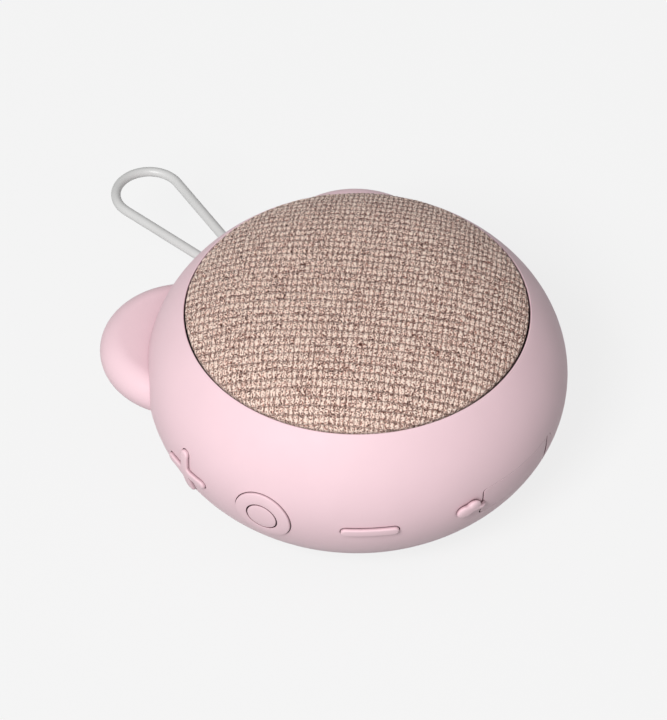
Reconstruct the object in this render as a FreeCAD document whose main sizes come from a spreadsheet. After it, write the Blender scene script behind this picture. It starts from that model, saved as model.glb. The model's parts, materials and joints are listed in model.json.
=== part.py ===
import FreeCAD, Part
import math
import os
import re

import Sketcher
from FreeCAD import Placement, Rotation, Vector

# A small round shower speaker with two ears and a hanging loop, lying on its back.
# +Z is the fabric face's direction, +Y runs towards the loop, and the origin is the
# centre of the foot's flat underside.  Angles are counted from +Y, seen from above.

SIZES = {
    # outer form: a squashed ball standing on a flat foot
    "body_radius": 45.0, "body_rise": 31.0, "equator_height": 24.0,
    "skin_depth": 2.2, "wall_depth": 2.0, "seat_gap": 0.1,
    "rim_radius": 36.7, "rim_round": 0.45, "sleeve_bottom": 0.6, "base_opening": 26.5,
    "bottom_round": 1.2, "lip_top": 3.1,
    # inner housing, two halves
    "floor_bottom": 3.2, "floor_top": 5.2, "split_height": 30.0, "split_seal": 0.6,
    "housing_top": 39.6, "baffle_bottom": 36.0, "baffle_top": 38.0, "baffle_hole": 20.2,
    "seal_inner": 39.8, "seal_outer": 41.3,
    "post_circle": 31.0, "post_radius": 2.6, "post_bottom": 7.2, "post_count": 3,
    "post_angle": 52.0,
    "screw_radius": 0.95, "screw_head_radius": 1.9, "screw_head_height": 1.3,
    "housing_screw_tip": 24.0,
    # foot and base plate
    "foot_radius": 22.0, "foot_top": 1.5, "plate_radius": 26.3, "plate_bottom": 0.5,
    "plate_top": 3.1, "counterbore_top": 2.5, "base_screw_circle": 16.0,
    "base_screw_top": 6.2, "stud_radius": 2.4, "stud_top": 8.0, "stud_count": 3,
    "foot_groove_inner": 17.0, "foot_groove_outer": 18.0, "foot_groove_depth": 0.4,
    # grille
    "fabric_crown": 49.9, "crown_radius": 130.0, "crown_knee": 18.0, "shoulder_radius": 48.7,
    "fabric_depth": 0.6, "grille_blank": 12.0,
    "fabric_radius": 36.35, "fabric_hem": 40.6, "grille_gap": 0.05, "grille_depth": 1.2,
    "grille_radius": 35.6, "grille_hole": 1.3, "grille_pitch": 5.4,
    "ring_inner": 33.4, "ring_outer": 35.6, "ring_bottom": 39.7, "ring_top": 40.35,
    # ears
    "ear_angle": 39.0, "ear_reach": 37.5, "ear_height": 23.4, "ear_radius": 18.3,
    "ear_half_depth": 4.8, "spigot_radius": 2.5, "spigot_inner": 38.9, "spigot_outer": 49.5, "ear_gap": 0.04,
    # hanging loop
    "loop_height": 24.6, "loop_bend": 7.2, "loop_end": 71.3, "loop_section": 1.05,
    "loop_pivot": 46.6, "loop_spread": 3.5, "loop_tip": 1.2, "root_tip": 45.15, "toggle_reach": 38.5,
    "toggle_radius": 1.35, "toggle_half": 6.0, "loop_hole": 1.2,
    # side buttons
    "button_height": 20.6, "plus_angle": 86.8, "play_angle": 113.9, "minus_angle": 143.9,
    "button_proud": 0.75, "play_proud": 0.45, "button_gap": 0.12, "play_radius": 6.4,
    "bar_half": 6.2, "bar_width": 2.2,
    "flange_radius": 7.6, "flange_outer_depth": 2.5, "flange_inner_depth": 3.4,
    "flange_start": 36.0, "window_radius": 8.1, "button_blank": 48.0,
    "ball_reach": 20.0,
    # how far one feature starts inside another, and a screw slot's size as shares of its head
    "weld": 1.0, "slot_long": 1.4, "slot_wide": 0.3,
    # switch stack behind the buttons
    "stack_start": 73.0, "stack_sweep": 83.0, "stack_low": 16.0, "stack_high": 25.0,
    "membrane_low": 10.8, "membrane_high": 29.2,
    "membrane_outer_depth": 4.35, "membrane_inner_depth": 4.95,
    "flex_outer_depth": 6.8, "flex_inner_depth": 7.1,
    "bracket_outer_depth": 7.15, "bracket_inner_depth": 8.4,
    "switch_radius": 2.0, "switch_inner": 38.14, "switch_outer": 38.7,
    # port flap
    "flap_angle": 189.7, "flap_height": 20.7, "flap_half": 10.25, "flap_tall": 7.6,
    "flap_corner": 1.6, "flap_depth": 1.6, "flap_gap": 0.25, "barrel_radius": 0.8,
    "barrel_gap": 0.2, "barrel_reach": 42.66, "barrel_tilt": 8.8, "tab_lift": 0.15,
    "tab_proud": 1.3, "tab_lobe": 1.5, "tab_near": 12.6, "tab_far": 15.2,
    "tab_near_up": 1.3, "tab_far_up": 0.6,
    "neck_tall": 2.4, "neck_start": 9.2, "neck_proud": 0.8,
    "plug_half": 4.3, "plug_tall": 2.9, "plug_inner": 41.5, "plug_outer": 43.5,
    "anchor_width": 1.8, "anchor_gap": 0.15, "anchor_depth": 2.1,
    # charging port
    "port_half": 4.7, "port_tall": 3.7, "shell_half": 4.47, "shell_tall": 3.26,
    "shell_outer": 39.6, "shell_inner": 32.6, "shell_skin": 0.3,
    "tongue_half": 3.3, "tongue_tall": 0.7, "tongue_outer": 39.2,
    "port_board_half": 6.5, "port_board_inner": 29.0, "port_board_outer": 37.3,
    "port_board_depth": 1.0, "port_gasket_half": 5.9, "port_gasket_tall": 6.0,
    "port_gasket_inner": 37.4, "port_gasket_outer": 38.8,
    # loudspeaker
    "gasket_bottom": 38.0, "gasket_top": 38.4, "frame_radius": 24.0, "frame_top": 39.6,
    "frame_ledge": 39.0, "ledge_outer": 20.4, "ledge_inner": 18.4, "basket_outer": 19.9,
    "basket_low_outer": 15.2, "basket_low_inner": 13.9, "spider_seat": 30.6,
    "spider_inner": 12.4, "basket_floor": 29.4, "basket_bottom": 28.4, "magnet_hole": 7.4,
    "basket_knee": 30.8, "window_low": 31.6, "window_high": 36.8, "window_half": 5.0,
    "top_plate_bottom": 26.0, "top_plate_radius": 13.6, "magnet_bottom": 21.2,
    "magnet_radius": 15.0, "magnet_inner": 8.6, "yoke_bottom": 19.2, "yoke_radius": 13.6,
    "pole_radius": 6.0, "pole_top": 28.2, "former_inner": 6.3, "former_outer": 6.5,
    "coil_outer": 6.8, "former_bottom": 22.6, "former_top": 32.2, "coil_bottom": 24.6,
    "coil_top": 29.8, "cone_neck": 31.6, "cone_edge": 16.6, "cone_depth": 0.5,
    "cone_rim": 38.4, "surround_inner": 16.7, "surround_outer": 20.3, "surround_lift": 39.0,
    "surround_depth": 0.4, "roll_outer": 18.9, "cap_radius": 6.3,
    "spider_depth": 0.3, "spider_neck": 6.55, "frame_screw_circle": 22.1,
    "frame_screw_radius": 0.7, "frame_screw_head": 1.35, "frame_screw_reach": 36.4,
    "frame_screw_count": 4,
    # electronics
    "board_radius": 25.0, "board_bottom": 8.0, "board_top": 9.4, "board_screw_tip": 6.6,
    "module_length": 15.0, "module_width": 12.0, "module_depth": 1.6, "module_y": 9.0,
    "amp_side": 6.0, "amp_depth": 1.2, "amp_x": 17.0, "can_radius": 2.5, "can_depth": 2.4,
    "can_reach": 19.5, "cell_length": 40.0, "cell_width": 30.0, "cell_bottom": 12.6,
    "cell_top": 18.6, "cell_round": 1.5, "tray_wall": 1.0, "tray_bottom": 11.8,
    "tray_lip": 15.0, "tray_leg": 2.0,
}

doc = FreeCAD.newDocument("ShowerSpeaker")
sheet = doc.addObject("Spreadsheet::Sheet", "Sizes")
parts = {}


def fill_sheet():
    for row, (alias, value) in enumerate(SIZES.items(), start=1):
        sheet.set(f"A{row}", alias)
        sheet.set(f"B{row}", str(value))
        sheet.setAlias(f"B{row}", alias)
    doc.recompute()


def bound(text):
    """The expression with each alias pointing at the sheet."""
    return re.sub(r"[a-z][a-z_]+", lambda m: f"Sizes.{m[0]}" if m[0] in SIZES else m[0], text)


def size(text):
    return float(sheet.evalExpression(bound(text)))


def keep(item, label):
    item.Label = label
    parts[label] = item
    return item


# ---- expressions for points on the ball-shaped faces -------------------------------

def ball_radius(height, depth):
    """Radius at a height of the face lying `depth` inside the ball."""
    rise = f"(body_rise - ({depth}))"
    return (f"(body_radius - ({depth})) * sqrt(1 - ((({height}) - equator_height) / {rise})"
            f" * ((({height}) - equator_height) / {rise}))")


def ball_height(radius, depth):
    """Height above the equator's plane side at a radius of that same face."""
    span = f"(body_radius - ({depth}))"
    return (f"equator_height + (body_rise - ({depth})) * sqrt(1 - (({radius}) / {span})"
            f" * (({radius}) / {span}))")


# ---- sketch helpers -----------------------------------------------------------------

def new_body(name):
    return doc.addObject("PartDesign::Body", name)


def new_sketch(body, name, role, shift=None, turn=None):
    """A sketch on an origin plane, moved along its normal or turned about the plane's up."""
    sketch = body.newObject("Sketcher::SketchObject", name)
    plane = next(item for item in body.Origin.OriginFeatures if item.Role == role)
    sketch.AttachmentSupport = (plane, [""])
    sketch.MapMode = "FlatFace"
    angle = size(turn) if turn else 0.0
    axis = Vector(0, 1, 0)
    sketch.AttachmentOffset = Placement(Vector(0, 0, 0), Rotation(axis, angle))
    if turn:
        sketch.setExpression("AttachmentOffset.Rotation.Angle", bound(turn))
    if shift:
        sketch.setExpression("AttachmentOffset.Base.z", bound(shift))
    return sketch


def fix_axis(sketch, geometry, end, kind, text):
    """Hold a point at a signed distance from the origin, along X or along Y."""
    value = size(text)
    if abs(value) < 1e-9:
        axis = -2 if kind == "DistanceX" else -1
        sketch.addConstraint(Sketcher.Constraint("PointOnObject", geometry, end, axis))
        return
    first, second = ((-1, 1), (geometry, end)) if value > 0 else ((geometry, end), (-1, 1))
    index = sketch.addConstraint(Sketcher.Constraint(kind, *first, *second, abs(value)))
    sketch.setExpression(f"Constraints[{index}]", bound(text if value > 0 else f"-({text})"))


def fix_point(sketch, geometry, end, x_text, y_text):
    fix_axis(sketch, geometry, end, "DistanceX", x_text)
    fix_axis(sketch, geometry, end, "DistanceY", y_text)


def arc_between(start, finish, radius):
    """Arc from start to finish; a positive radius turns left, a negative one right."""
    chord = finish - start
    half = chord.Length / 2
    left = Vector(-chord.y, chord.x, 0).normalize()
    offset = math.sqrt(max(radius * radius - half * half, 0))
    centre = start + chord * 0.5 + left * (offset if radius > 0 else -offset)
    circle = Part.Circle(centre, Vector(0, 0, 1), abs(radius))
    ends = (start, finish) if radius > 0 else (finish, start)
    return Part.ArcOfCircle(circle, circle.parameter(ends[0]), circle.parameter(ends[1]))


def draw_outline(sketch, corners):
    """Closed outline; a corner's third item is the radius of the arc that follows it."""
    points = [Vector(size(item[0]), size(item[1]), 0) for item in corners]
    edges = []
    for index, corner in enumerate(corners):
        start = points[index]
        finish = points[(index + 1) % len(points)]
        if len(corner) == 2:
            edges.append((sketch.addGeometry(Part.LineSegment(start, finish), False), 1, 2))
            continue
        radius = size(corner[2])
        arc = sketch.addGeometry(arc_between(start, finish, radius), False)
        edges.append((arc, 1, 2) if radius > 0 else (arc, 2, 1))
    for index, corner in enumerate(corners):
        edge, first, last = edges[index]
        following, join, _ = edges[(index + 1) % len(edges)]
        sketch.addConstraint(Sketcher.Constraint("Coincident", edge, last, following, join))
        fix_point(sketch, edge, first, corner[0], corner[1])
        if len(corner) == 3:
            chord = points[(index + 1) % len(points)] - points[index]
            fix_arc(sketch, edge, corner, chord)


def fix_arc(sketch, arc, corner, chord):
    """A half circle is held by its centre, any other arc by its radius."""
    radius = size(corner[2])
    if chord.Length > 1.999 * abs(radius):
        upright = abs(chord.x) < abs(chord.y)
        kind = "DistanceX" if upright else "DistanceY"
        fix_axis(sketch, arc, 3, kind, corner[0] if upright else corner[1])
        return
    index = sketch.addConstraint(Sketcher.Constraint("Radius", arc, abs(radius)))
    text = corner[2] if radius > 0 else f"-({corner[2]})"
    sketch.setExpression(f"Constraints[{index}]", bound(text))


def draw_circle(sketch, x_text, y_text, radius_text):
    centre = Vector(size(x_text), size(y_text), 0)
    circle = Part.Circle(centre, Vector(0, 0, 1), size(radius_text))
    edge = sketch.addGeometry(circle, False)
    fix_point(sketch, edge, 3, x_text, y_text)
    index = sketch.addConstraint(Sketcher.Constraint("Radius", edge, size(radius_text)))
    sketch.setExpression(f"Constraints[{index}]", bound(radius_text))


def draw_box(sketch, half_x, low_y, high_y):
    draw_outline(sketch, [(f"-({half_x})", low_y), (half_x, low_y),
                          (half_x, high_y), (f"-({half_x})", high_y)])


def ellipse_arc(sketch, centre_y, span, rise, first, last):
    """Arc of an upright ellipse centred on the axis, counter-clockwise from first to last."""
    middle, across, up = size(centre_y), size(span), size(rise)
    angles = []
    for corner in (first, last):
        x, y = size(corner[0]), size(corner[1])
        angles.append(math.atan2((y - middle) / up, x / across))
    ellipse = Part.Ellipse(Vector(0, middle, 0), across, up)
    edge = sketch.addGeometry(Part.ArcOfEllipse(ellipse, angles[0], angles[1]), False)
    helper = sketch.GeometryCount
    sketch.exposeInternalGeometry(edge)
    fix_point(sketch, edge, 3, "0", centre_y)
    for offset, text in enumerate((span, rise)):
        value = 2 * size(text)
        held = sketch.addConstraint(Sketcher.Constraint("Distance", helper + offset, value))
        sketch.setExpression(f"Constraints[{held}]", bound(f"2 * ({text})"))
    sketch.addConstraint(Sketcher.Constraint("Horizontal", helper))
    return edge


def draw_chain(sketch, corners, curves):
    """Closed outline whose edge after a corner may be an ellipse arc named in curves.

    curves maps a corner's number to (centre_y, span, rise, climbs); climbs says that the
    outline follows the arc counter-clockwise."""
    edges = []
    for index, corner in enumerate(corners):
        after = corners[(index + 1) % len(corners)]
        if index in curves:
            centre_y, span, rise, climbs = curves[index]
            ends = (corner, after) if climbs else (after, corner)
            edge = ellipse_arc(sketch, centre_y, span, rise, *ends)
            edges.append((edge, 1, 2) if climbs else (edge, 2, 1))
            continue
        start = Vector(size(corner[0]), size(corner[1]), 0)
        finish = Vector(size(after[0]), size(after[1]), 0)
        edges.append((sketch.addGeometry(Part.LineSegment(start, finish), False), 1, 2))
    count = len(corners)
    for index in range(count):
        edge, _, last = edges[index]
        following, join, _ = edges[(index + 1) % count]
        sketch.addConstraint(Sketcher.Constraint("Coincident", edge, last, following, join))
    for index, corner in enumerate(corners):
        edge, first, _ = edges[index]
        before = (index - 1) % count
        if index in curves or before in curves:
            kind = "DistanceX" if corner[2] == "across" else "DistanceY"
            fix_axis(sketch, edge, first, kind, corner[0] if kind == "DistanceX" else corner[1])
        else:
            fix_point(sketch, edge, first, corner[0], corner[1])


# ---- feature helpers ----------------------------------------------------------------

def revolve(body, sketch, name):
    feature = body.newObject("PartDesign::Revolution", name)
    feature.Profile = sketch
    feature.ReferenceAxis = (sketch, ["V_Axis"])
    feature.Angle = 360
    return feature


def pad(body, sketch, name, length, outwards=False):
    """Pad of a sketch; outwards goes against the sketch's normal."""
    feature = body.newObject("PartDesign::Pad", name)
    feature.Profile = sketch
    feature.Reversed = outwards
    feature.setExpression("Length", bound(length))
    return feature


def pocket(body, sketch, name, length, upwards=False):
    """Pocket of a sketch; without upwards it cuts against the sketch's normal."""
    feature = body.newObject("PartDesign::Pocket", name)
    feature.Profile = sketch
    feature.Reversed = upwards
    feature.setExpression("Length", bound(length))
    return feature


def pattern(body, feature, name, count):
    """Repeat a feature evenly about the Z axis."""
    copies = body.newObject("PartDesign::PolarPattern", name)
    copies.Originals = [feature]
    axis = next(item for item in body.Origin.OriginFeatures if item.Role == "Z_Axis")
    copies.Axis = (axis, [""])
    copies.Angle = 360
    copies.setExpression("Occurrences", bound(count))
    body.Tip = copies
    return copies


def turned(label, corners):
    """A piece of revolution from a closed outline of (radius, height) corners."""
    body = new_body(label)
    sketch = new_sketch(body, f"{label}_outline", "XZ_Plane")
    draw_outline(sketch, corners)
    revolve(body, sketch, f"{label}_turned")
    return body


def ring(label, inner, outer, low, high):
    return turned(label, [(inner, low), (outer, low), (outer, high), (inner, high)])


def solid_ball(name, growth):
    """The ball, grown by `growth` and cut flat near both poles: a tool for trimming."""
    body = new_body(name)
    sketch = new_sketch(body, f"{name}_outline", "XZ_Plane")
    depth = f"-({growth})"
    low = "equator_height - ball_reach"
    high = "equator_height + ball_reach"
    curve = ("equator_height", f"body_radius + ({growth})", f"body_rise + ({growth})", True)
    corners = [("0", low), (ball_radius(low, depth), low, "up"),
               (ball_radius(high, depth), high, "up"), ("0", high)]
    draw_chain(sketch, corners, {1: curve})
    revolve(body, sketch, f"{name}_turned")
    return body


def combine(kind, name, first, second):
    """Part::Cut, Part::Common or Part::Fuse of two items."""
    item = doc.addObject(f"Part::{kind}", name)
    item.Base = first
    item.Tool = second
    return item


def turn_to(item, angle):
    """Stand a piece that was drawn along +Y at its angle about the Z axis."""
    item.Placement = Placement(Vector(0, 0, 0), Rotation(Vector(0, 0, 1), size(angle)))
    item.setExpression("Placement.Rotation.Angle", bound(angle))
    return item


def place(item, x_text, y_text, z_text):
    for axis, text in (("x", x_text), ("y", y_text), ("z", z_text)):
        item.setExpression(f"Placement.Base.{axis}", bound(text))
    return item


def cylinder(name, radius, height, x_text="0", y_text="0", z_text="0"):
    item = doc.addObject("Part::Cylinder", name)
    item.setExpression("Radius", bound(radius))
    item.setExpression("Height", bound(height))
    return place(item, x_text, y_text, z_text)


def box(name, length, width, height, x_text, y_text, z_text):
    item = doc.addObject("Part::Box", name)
    for side, text in (("Length", length), ("Width", width), ("Height", height)):
        item.setExpression(side, bound(text))
    return place(item, x_text, y_text, z_text)


def group(label, items):
    """Several separate solids under one name."""
    item = doc.addObject("Part::Compound", label)
    item.Links = items
    return keep(item, label)


# ---- outlines of the side controls, each with a growth for its opening ----------------

def draw_bar(sketch, growth):
    tip = "bar_half - bar_width / 2"
    half = f"(bar_width / 2 + {growth})"
    low = f"button_height - {half}"
    high = f"button_height + {half}"
    draw_outline(sketch, [(f"-({tip})", low), (tip, low, half), (tip, high),
                          (f"-({tip})", high, half)])


def draw_upright_bar(sketch, growth):
    half = f"(bar_width / 2 + {growth})"
    low = f"button_height - (bar_half - bar_width / 2)"
    high = f"button_height + (bar_half - bar_width / 2)"
    draw_outline(sketch, [(half, low), (half, high, half), (f"-{half}", high),
                          (f"-{half}", low, half)])


def draw_flap(sketch, growth):
    half = f"(flap_half + {growth})"
    low = f"flap_height - flap_tall / 2 - {growth}"
    high = f"flap_height + flap_tall / 2 + {growth}"
    draw_outline(sketch, [
        (f"-{half}", low), (f"{half} - flap_corner", low, "flap_corner"),
        (half, f"{low} + flap_corner"), (half, f"{high} - flap_corner", "flap_corner"),
        (f"{half} - flap_corner", high), (f"-{half}", high)])


def draw_anchor(sketch, growth, far_growth="0"):
    """The strip beside the flap's hinge end; its opening reaches back to the flap's own."""
    near = "flap_half" if growth != "0" else "flap_half + barrel_radius + barrel_gap"
    far = f"flap_half + barrel_radius + barrel_gap + anchor_width + {far_growth}"
    low = f"flap_height - flap_tall / 2 - {growth}"
    high = f"flap_height + flap_tall / 2 + {growth}"
    draw_outline(sketch, [(f"-({far})", low), (f"-({near})", low), (f"-({near})", high),
                          (f"-({far})", high)])


# ---- the soft outer sleeve ------------------------------------------------------------

def cut_symbols(body):
    """Openings for the three buttons, straight through the sleeve's side."""
    shapes = (("plus_slot", "plus_angle", draw_bar), ("plus_mast", "plus_angle", draw_upright_bar),
              ("minus_slot", "minus_angle", draw_bar))
    for name, angle, draw in shapes:
        sketch = new_sketch(body, f"{name}_sketch", "XZ_Plane", turn=angle)
        draw(sketch, "button_gap")
        pocket(body, sketch, name, "button_blank")
    sketch = new_sketch(body, "play_sketch", "XZ_Plane", turn="play_angle")
    draw_circle(sketch, "0", "button_height", "play_radius + button_gap")
    pocket(body, sketch, "play_opening", "button_blank")


def cut_holes(body, prefix, holes):
    """Round radial holes: (name, angle, x, height, radius)."""
    for name, angle, across, height, radius in holes:
        sketch = new_sketch(body, f"{prefix}_{name}_sketch", "XZ_Plane", turn=angle)
        draw_circle(sketch, across, height, radius)
        pocket(body, sketch, f"{prefix}_{name}", "button_blank")


FITTINGS = (
    ("left_ear_hole", "ear_angle", "0", "ear_height", "spigot_radius + seat_gap"),
    ("right_ear_hole", "360 - ear_angle", "0", "ear_height", "spigot_radius + seat_gap"),
    ("left_loop_hole", "0.001", "-loop_spread", "loop_height", "loop_hole"),
    ("right_loop_hole", "0.001", "loop_spread", "loop_height", "loop_hole"),
)


def make_sleeve():
    body = new_body("soft_sleeve")
    sketch = new_sketch(body, "sleeve_outline", "XZ_Plane")
    outer = ("equator_height", "body_radius", "body_rise", True)
    inner = ("equator_height", "body_radius - skin_depth", "body_rise - skin_depth", False)
    corners = [
        (ball_radius("sleeve_bottom", "0"), "sleeve_bottom", "up"),
        ("rim_radius", ball_height("rim_radius", "0"), "across"),
        ("rim_radius", ball_height("rim_radius", "skin_depth"), "across"),
        (ball_radius("lip_top", "skin_depth"), "lip_top", "up"),
        ("base_opening", "lip_top", "up"),
        ("base_opening", "sleeve_bottom", "up")]
    draw_chain(sketch, corners, {0: outer, 2: inner})
    revolve(body, sketch, "sleeve_turned")
    round_edge(body, "rim_round", "rim_radius", ball_height("rim_radius", "0"))
    round_edge(body, "bottom_round", ball_radius("sleeve_bottom", "0"), "sleeve_bottom")
    cut_symbols(body)
    cut_holes(body, "sleeve", FITTINGS)
    sketch = new_sketch(body, "flap_sketch", "XZ_Plane", turn="flap_angle")
    draw_flap(sketch, "flap_gap")
    pocket(body, sketch, "flap_opening", "button_blank")
    sketch = new_sketch(body, "anchor_sketch", "XZ_Plane", turn="flap_angle")
    draw_anchor(sketch, "flap_gap", "anchor_gap")
    pocket(body, sketch, "anchor_opening", "button_blank")
    keep(body, "soft_sleeve")


EDGE_MATCH = 0.05


def round_edge(body, name, radius, height):
    """Fillet the circular edge of this radius and height; the fillet's size has its name."""
    doc.recompute()
    feature = body.Tip
    for index, edge in enumerate(feature.Shape.Edges, start=1):
        circle = edge.Curve
        if not isinstance(circle, Part.Circle):
            continue
        if abs(circle.Radius - size(radius)) < EDGE_MATCH and (
                abs(circle.Center.z - size(height)) < EDGE_MATCH):
            fillet = body.newObject("PartDesign::Fillet", name)
            fillet.Base = (feature, [f"Edge{index}"])
            fillet.setExpression("Radius", bound(name))
            return fillet
    raise ValueError(f"no edge for {name}")


# ---- the rigid housing inside the sleeve ------------------------------------------------

POST_PLACE = ("-post_circle * sin(post_angle)", "post_circle * cos(post_angle)")


def make_lower_housing():
    body = new_body("lower_housing")
    sketch = new_sketch(body, "lower_outline", "XZ_Plane")
    outside = "skin_depth + seat_gap"
    inside = "skin_depth + seat_gap + wall_depth"
    outer = ("equator_height", f"body_radius - ({outside})", f"body_rise - ({outside})", True)
    inner = ("equator_height", f"body_radius - ({inside})", f"body_rise - ({inside})", False)
    corners = [
        ("0", "floor_bottom"),
        (ball_radius("floor_bottom", outside), "floor_bottom", "up"),
        (ball_radius("split_height", outside), "split_height", "up"),
        (ball_radius("split_height", inside), "split_height", "up"),
        (ball_radius("floor_top", inside), "floor_top", "up"),
        ("0", "floor_top")]
    draw_chain(sketch, corners, {1: outer, 3: inner})
    revolve(body, sketch, "lower_turned")
    add_posts(body)
    cut_holes(body, "lower", FITTINGS + (
        ("plus_window", "plus_angle", "0", "button_height", "window_radius"),
        ("play_window", "play_angle", "0", "button_height", "window_radius"),
        ("minus_window", "minus_angle", "0", "button_height", "window_radius")))
    sketch = new_sketch(body, "port_sketch", "XZ_Plane", turn="flap_angle")
    draw_box(sketch, "port_half", "flap_height - port_tall / 2", "flap_height + port_tall / 2")
    pocket(body, sketch, "port_opening", "button_blank")
    keep(body, "lower_housing")


def add_posts(body):
    """Posts for the long housing screws, and short studs that carry the main board."""
    sketch = new_sketch(body, "post_sketch", "XY_Plane", shift="post_bottom")
    draw_circle(sketch, *POST_PLACE, "post_radius")
    post = pad(body, sketch, "post", "split_height - post_bottom")
    pattern(body, post, "posts", "post_count")
    sketch = new_sketch(body, "rib_sketch", "XY_Plane", shift="floor_top - weld")
    draw_circle(sketch, "0", "base_screw_circle", "stud_radius")
    stud = pad(body, sketch, "stud", "stud_top - floor_top + weld")
    pattern(body, stud, "studs", "stud_count")
    sketch = new_sketch(body, "stud_hole_sketch", "XY_Plane", shift="stud_top")
    draw_circle(sketch, "0", "base_screw_circle", "screw_radius")
    hole = pocket(body, sketch, "stud_hole", "stud_top - plate_bottom")
    pattern(body, hole, "stud_holes", "stud_count")
    sketch = new_sketch(body, "post_hole_sketch", "XY_Plane", shift="split_height")
    draw_circle(sketch, *POST_PLACE, "screw_radius")
    hole = pocket(body, sketch, "post_hole", "split_height - housing_screw_tip")
    pattern(body, hole, "post_holes", "post_count")


def make_upper_housing():
    """The half that carries the loudspeaker's baffle."""
    body = new_body("upper_housing")
    sketch = new_sketch(body, "upper_outline", "XZ_Plane")
    outside = "skin_depth + seat_gap"
    inside = "skin_depth + seat_gap + wall_depth"
    bottom = "split_height + split_seal"
    outer = ("equator_height", f"body_radius - ({outside})", f"body_rise - ({outside})", True)
    inner = ("equator_height", f"body_radius - ({inside})", f"body_rise - ({inside})", False)
    corners = [
        (ball_radius(bottom, outside), bottom, "up"),
        (ball_radius("housing_top", outside), "housing_top", "up"),
        ("ring_inner", "housing_top"),
        ("ring_inner", "baffle_top"),
        ("baffle_hole", "baffle_top"),
        ("baffle_hole", "baffle_bottom"),
        (ball_radius("baffle_bottom", inside), "baffle_bottom", "up"),
        (ball_radius(bottom, inside), bottom, "up")]
    draw_chain(sketch, corners, {0: outer, 6: inner})
    revolve(body, sketch, "upper_turned")
    sketch = new_sketch(body, "boss_sketch", "XY_Plane", shift=bottom)
    draw_circle(sketch, *POST_PLACE, "post_radius")
    boss = pad(body, sketch, "boss", f"baffle_bottom + weld - ({bottom})")
    pattern(body, boss, "bosses", "post_count")
    sketch = new_sketch(body, "boss_hole_sketch", "XY_Plane", shift="baffle_top")
    draw_circle(sketch, *POST_PLACE, "screw_radius")
    hole = pocket(body, sketch, "boss_hole", "baffle_top - split_height")
    pattern(body, hole, "boss_holes", "post_count")
    sketch = new_sketch(body, "frame_hole_sketch", "XY_Plane", shift="baffle_top")
    draw_circle(sketch, "frame_screw_circle", "0", "frame_screw_radius")
    hole = pocket(body, sketch, "frame_hole", "baffle_top - baffle_bottom")
    pattern(body, hole, "frame_holes", "frame_screw_count")
    keep(body, "upper_housing")


def make_screws(label, count, circle, start, shank, head, tip, seat, head_height):
    """Upright slotted screws on a circle; each head stands on its seat."""
    solids = []
    for index in range(int(size(count))):
        name = f"{label}_{index + 1}"
        shaft = cylinder(f"{name}_shank", shank, f"{seat} - ({tip})", "0", circle, tip)
        cap = cylinder(f"{name}_head", head, head_height, "0", circle, seat)
        drive = box(f"{name}_slot", f"{head} * slot_long", f"{head} * slot_wide",
                    f"{head} * slot_wide", f"-{head} * slot_long / 2",
                    f"{circle} - {head} * slot_wide / 2",
                    f"{seat} + {head_height} - {head} * slot_wide")
        whole = combine("Fuse", f"{name}_whole", shaft, cap)
        cut = combine("Cut", f"{name}_cut", whole, drive)
        turn_to(cut, f"{start} + 360 / {count} * {index}")
        solids.append(cut)
    group(label, solids)


def make_base():
    plate = turned("base_plate", [
        ("0", "foot_top + seat_gap"), ("foot_radius + seat_gap", "foot_top + seat_gap"),
        ("foot_radius + seat_gap", "plate_bottom"), ("plate_radius", "plate_bottom"),
        ("plate_radius", "plate_top"), ("0", "plate_top")])
    sketch = new_sketch(plate, "plate_hole_sketch", "XY_Plane", shift="plate_top")
    draw_circle(sketch, "0", "base_screw_circle", "screw_radius")
    hole = pocket(plate, sketch, "plate_hole", "plate_top - plate_bottom")
    pattern(plate, hole, "plate_holes", "stud_count")
    sketch = new_sketch(plate, "counterbore_sketch", "XY_Plane", shift="counterbore_top")
    draw_circle(sketch, "0", "base_screw_circle", "screw_head_radius + seat_gap")
    hole = pocket(plate, sketch, "counterbore", "counterbore_top - plate_bottom")
    pattern(plate, hole, "counterbores", "stud_count")
    keep(plate, "base_plate")
    foot = turned("base_foot", [
        ("0", "0"), ("foot_groove_inner", "0"), ("foot_groove_inner", "foot_groove_depth"),
        ("foot_groove_outer", "foot_groove_depth"), ("foot_groove_outer", "0"),
        ("foot_radius - foot_groove_depth", "0"), ("foot_radius", "foot_groove_depth"),
        ("foot_radius", "foot_top"), ("0", "foot_top")])
    keep(foot, "base_foot")


def make_base_screws():
    """Their heads face down, inside the plate's counterbores."""
    solids = []
    for index in range(int(size("stud_count"))):
        name = f"base_screw_{index + 1}"
        seat = "counterbore_top"
        low = "foot_top + 2 * seat_gap"
        shaft = cylinder(f"{name}_shank", "screw_radius", f"base_screw_top - {seat}",
                         "0", "base_screw_circle", seat)
        cap = cylinder(f"{name}_head", "screw_head_radius", f"{seat} - ({low})",
                       "0", "base_screw_circle", low)
        whole = combine("Fuse", f"{name}_whole", shaft, cap)
        turn_to(whole, f"360 / stud_count * {index}")
        solids.append(whole)
    group("base_screws", solids)


# ---- the fabric grille ------------------------------------------------------------------

KNEE = "asin(crown_knee / crown_radius)"


def knee_point(drop):
    """Where the wide crown arc meets the tighter shoulder arc."""
    return (f"(crown_radius - ({drop})) * sin({KNEE})",
            f"fabric_crown - crown_radius + (crown_radius - ({drop})) * cos({KNEE})")


def shoulder_height(radius, drop):
    centre_x = f"(crown_radius - shoulder_radius) * sin({KNEE})"
    centre_z = (f"fabric_crown - crown_radius"
                f" + (crown_radius - shoulder_radius) * cos({KNEE})")
    arm = f"(shoulder_radius - ({drop}))"
    across = f"(({radius}) - {centre_x})"
    return f"{centre_z} + sqrt({arm} * {arm} - {across} * {across})"


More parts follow.
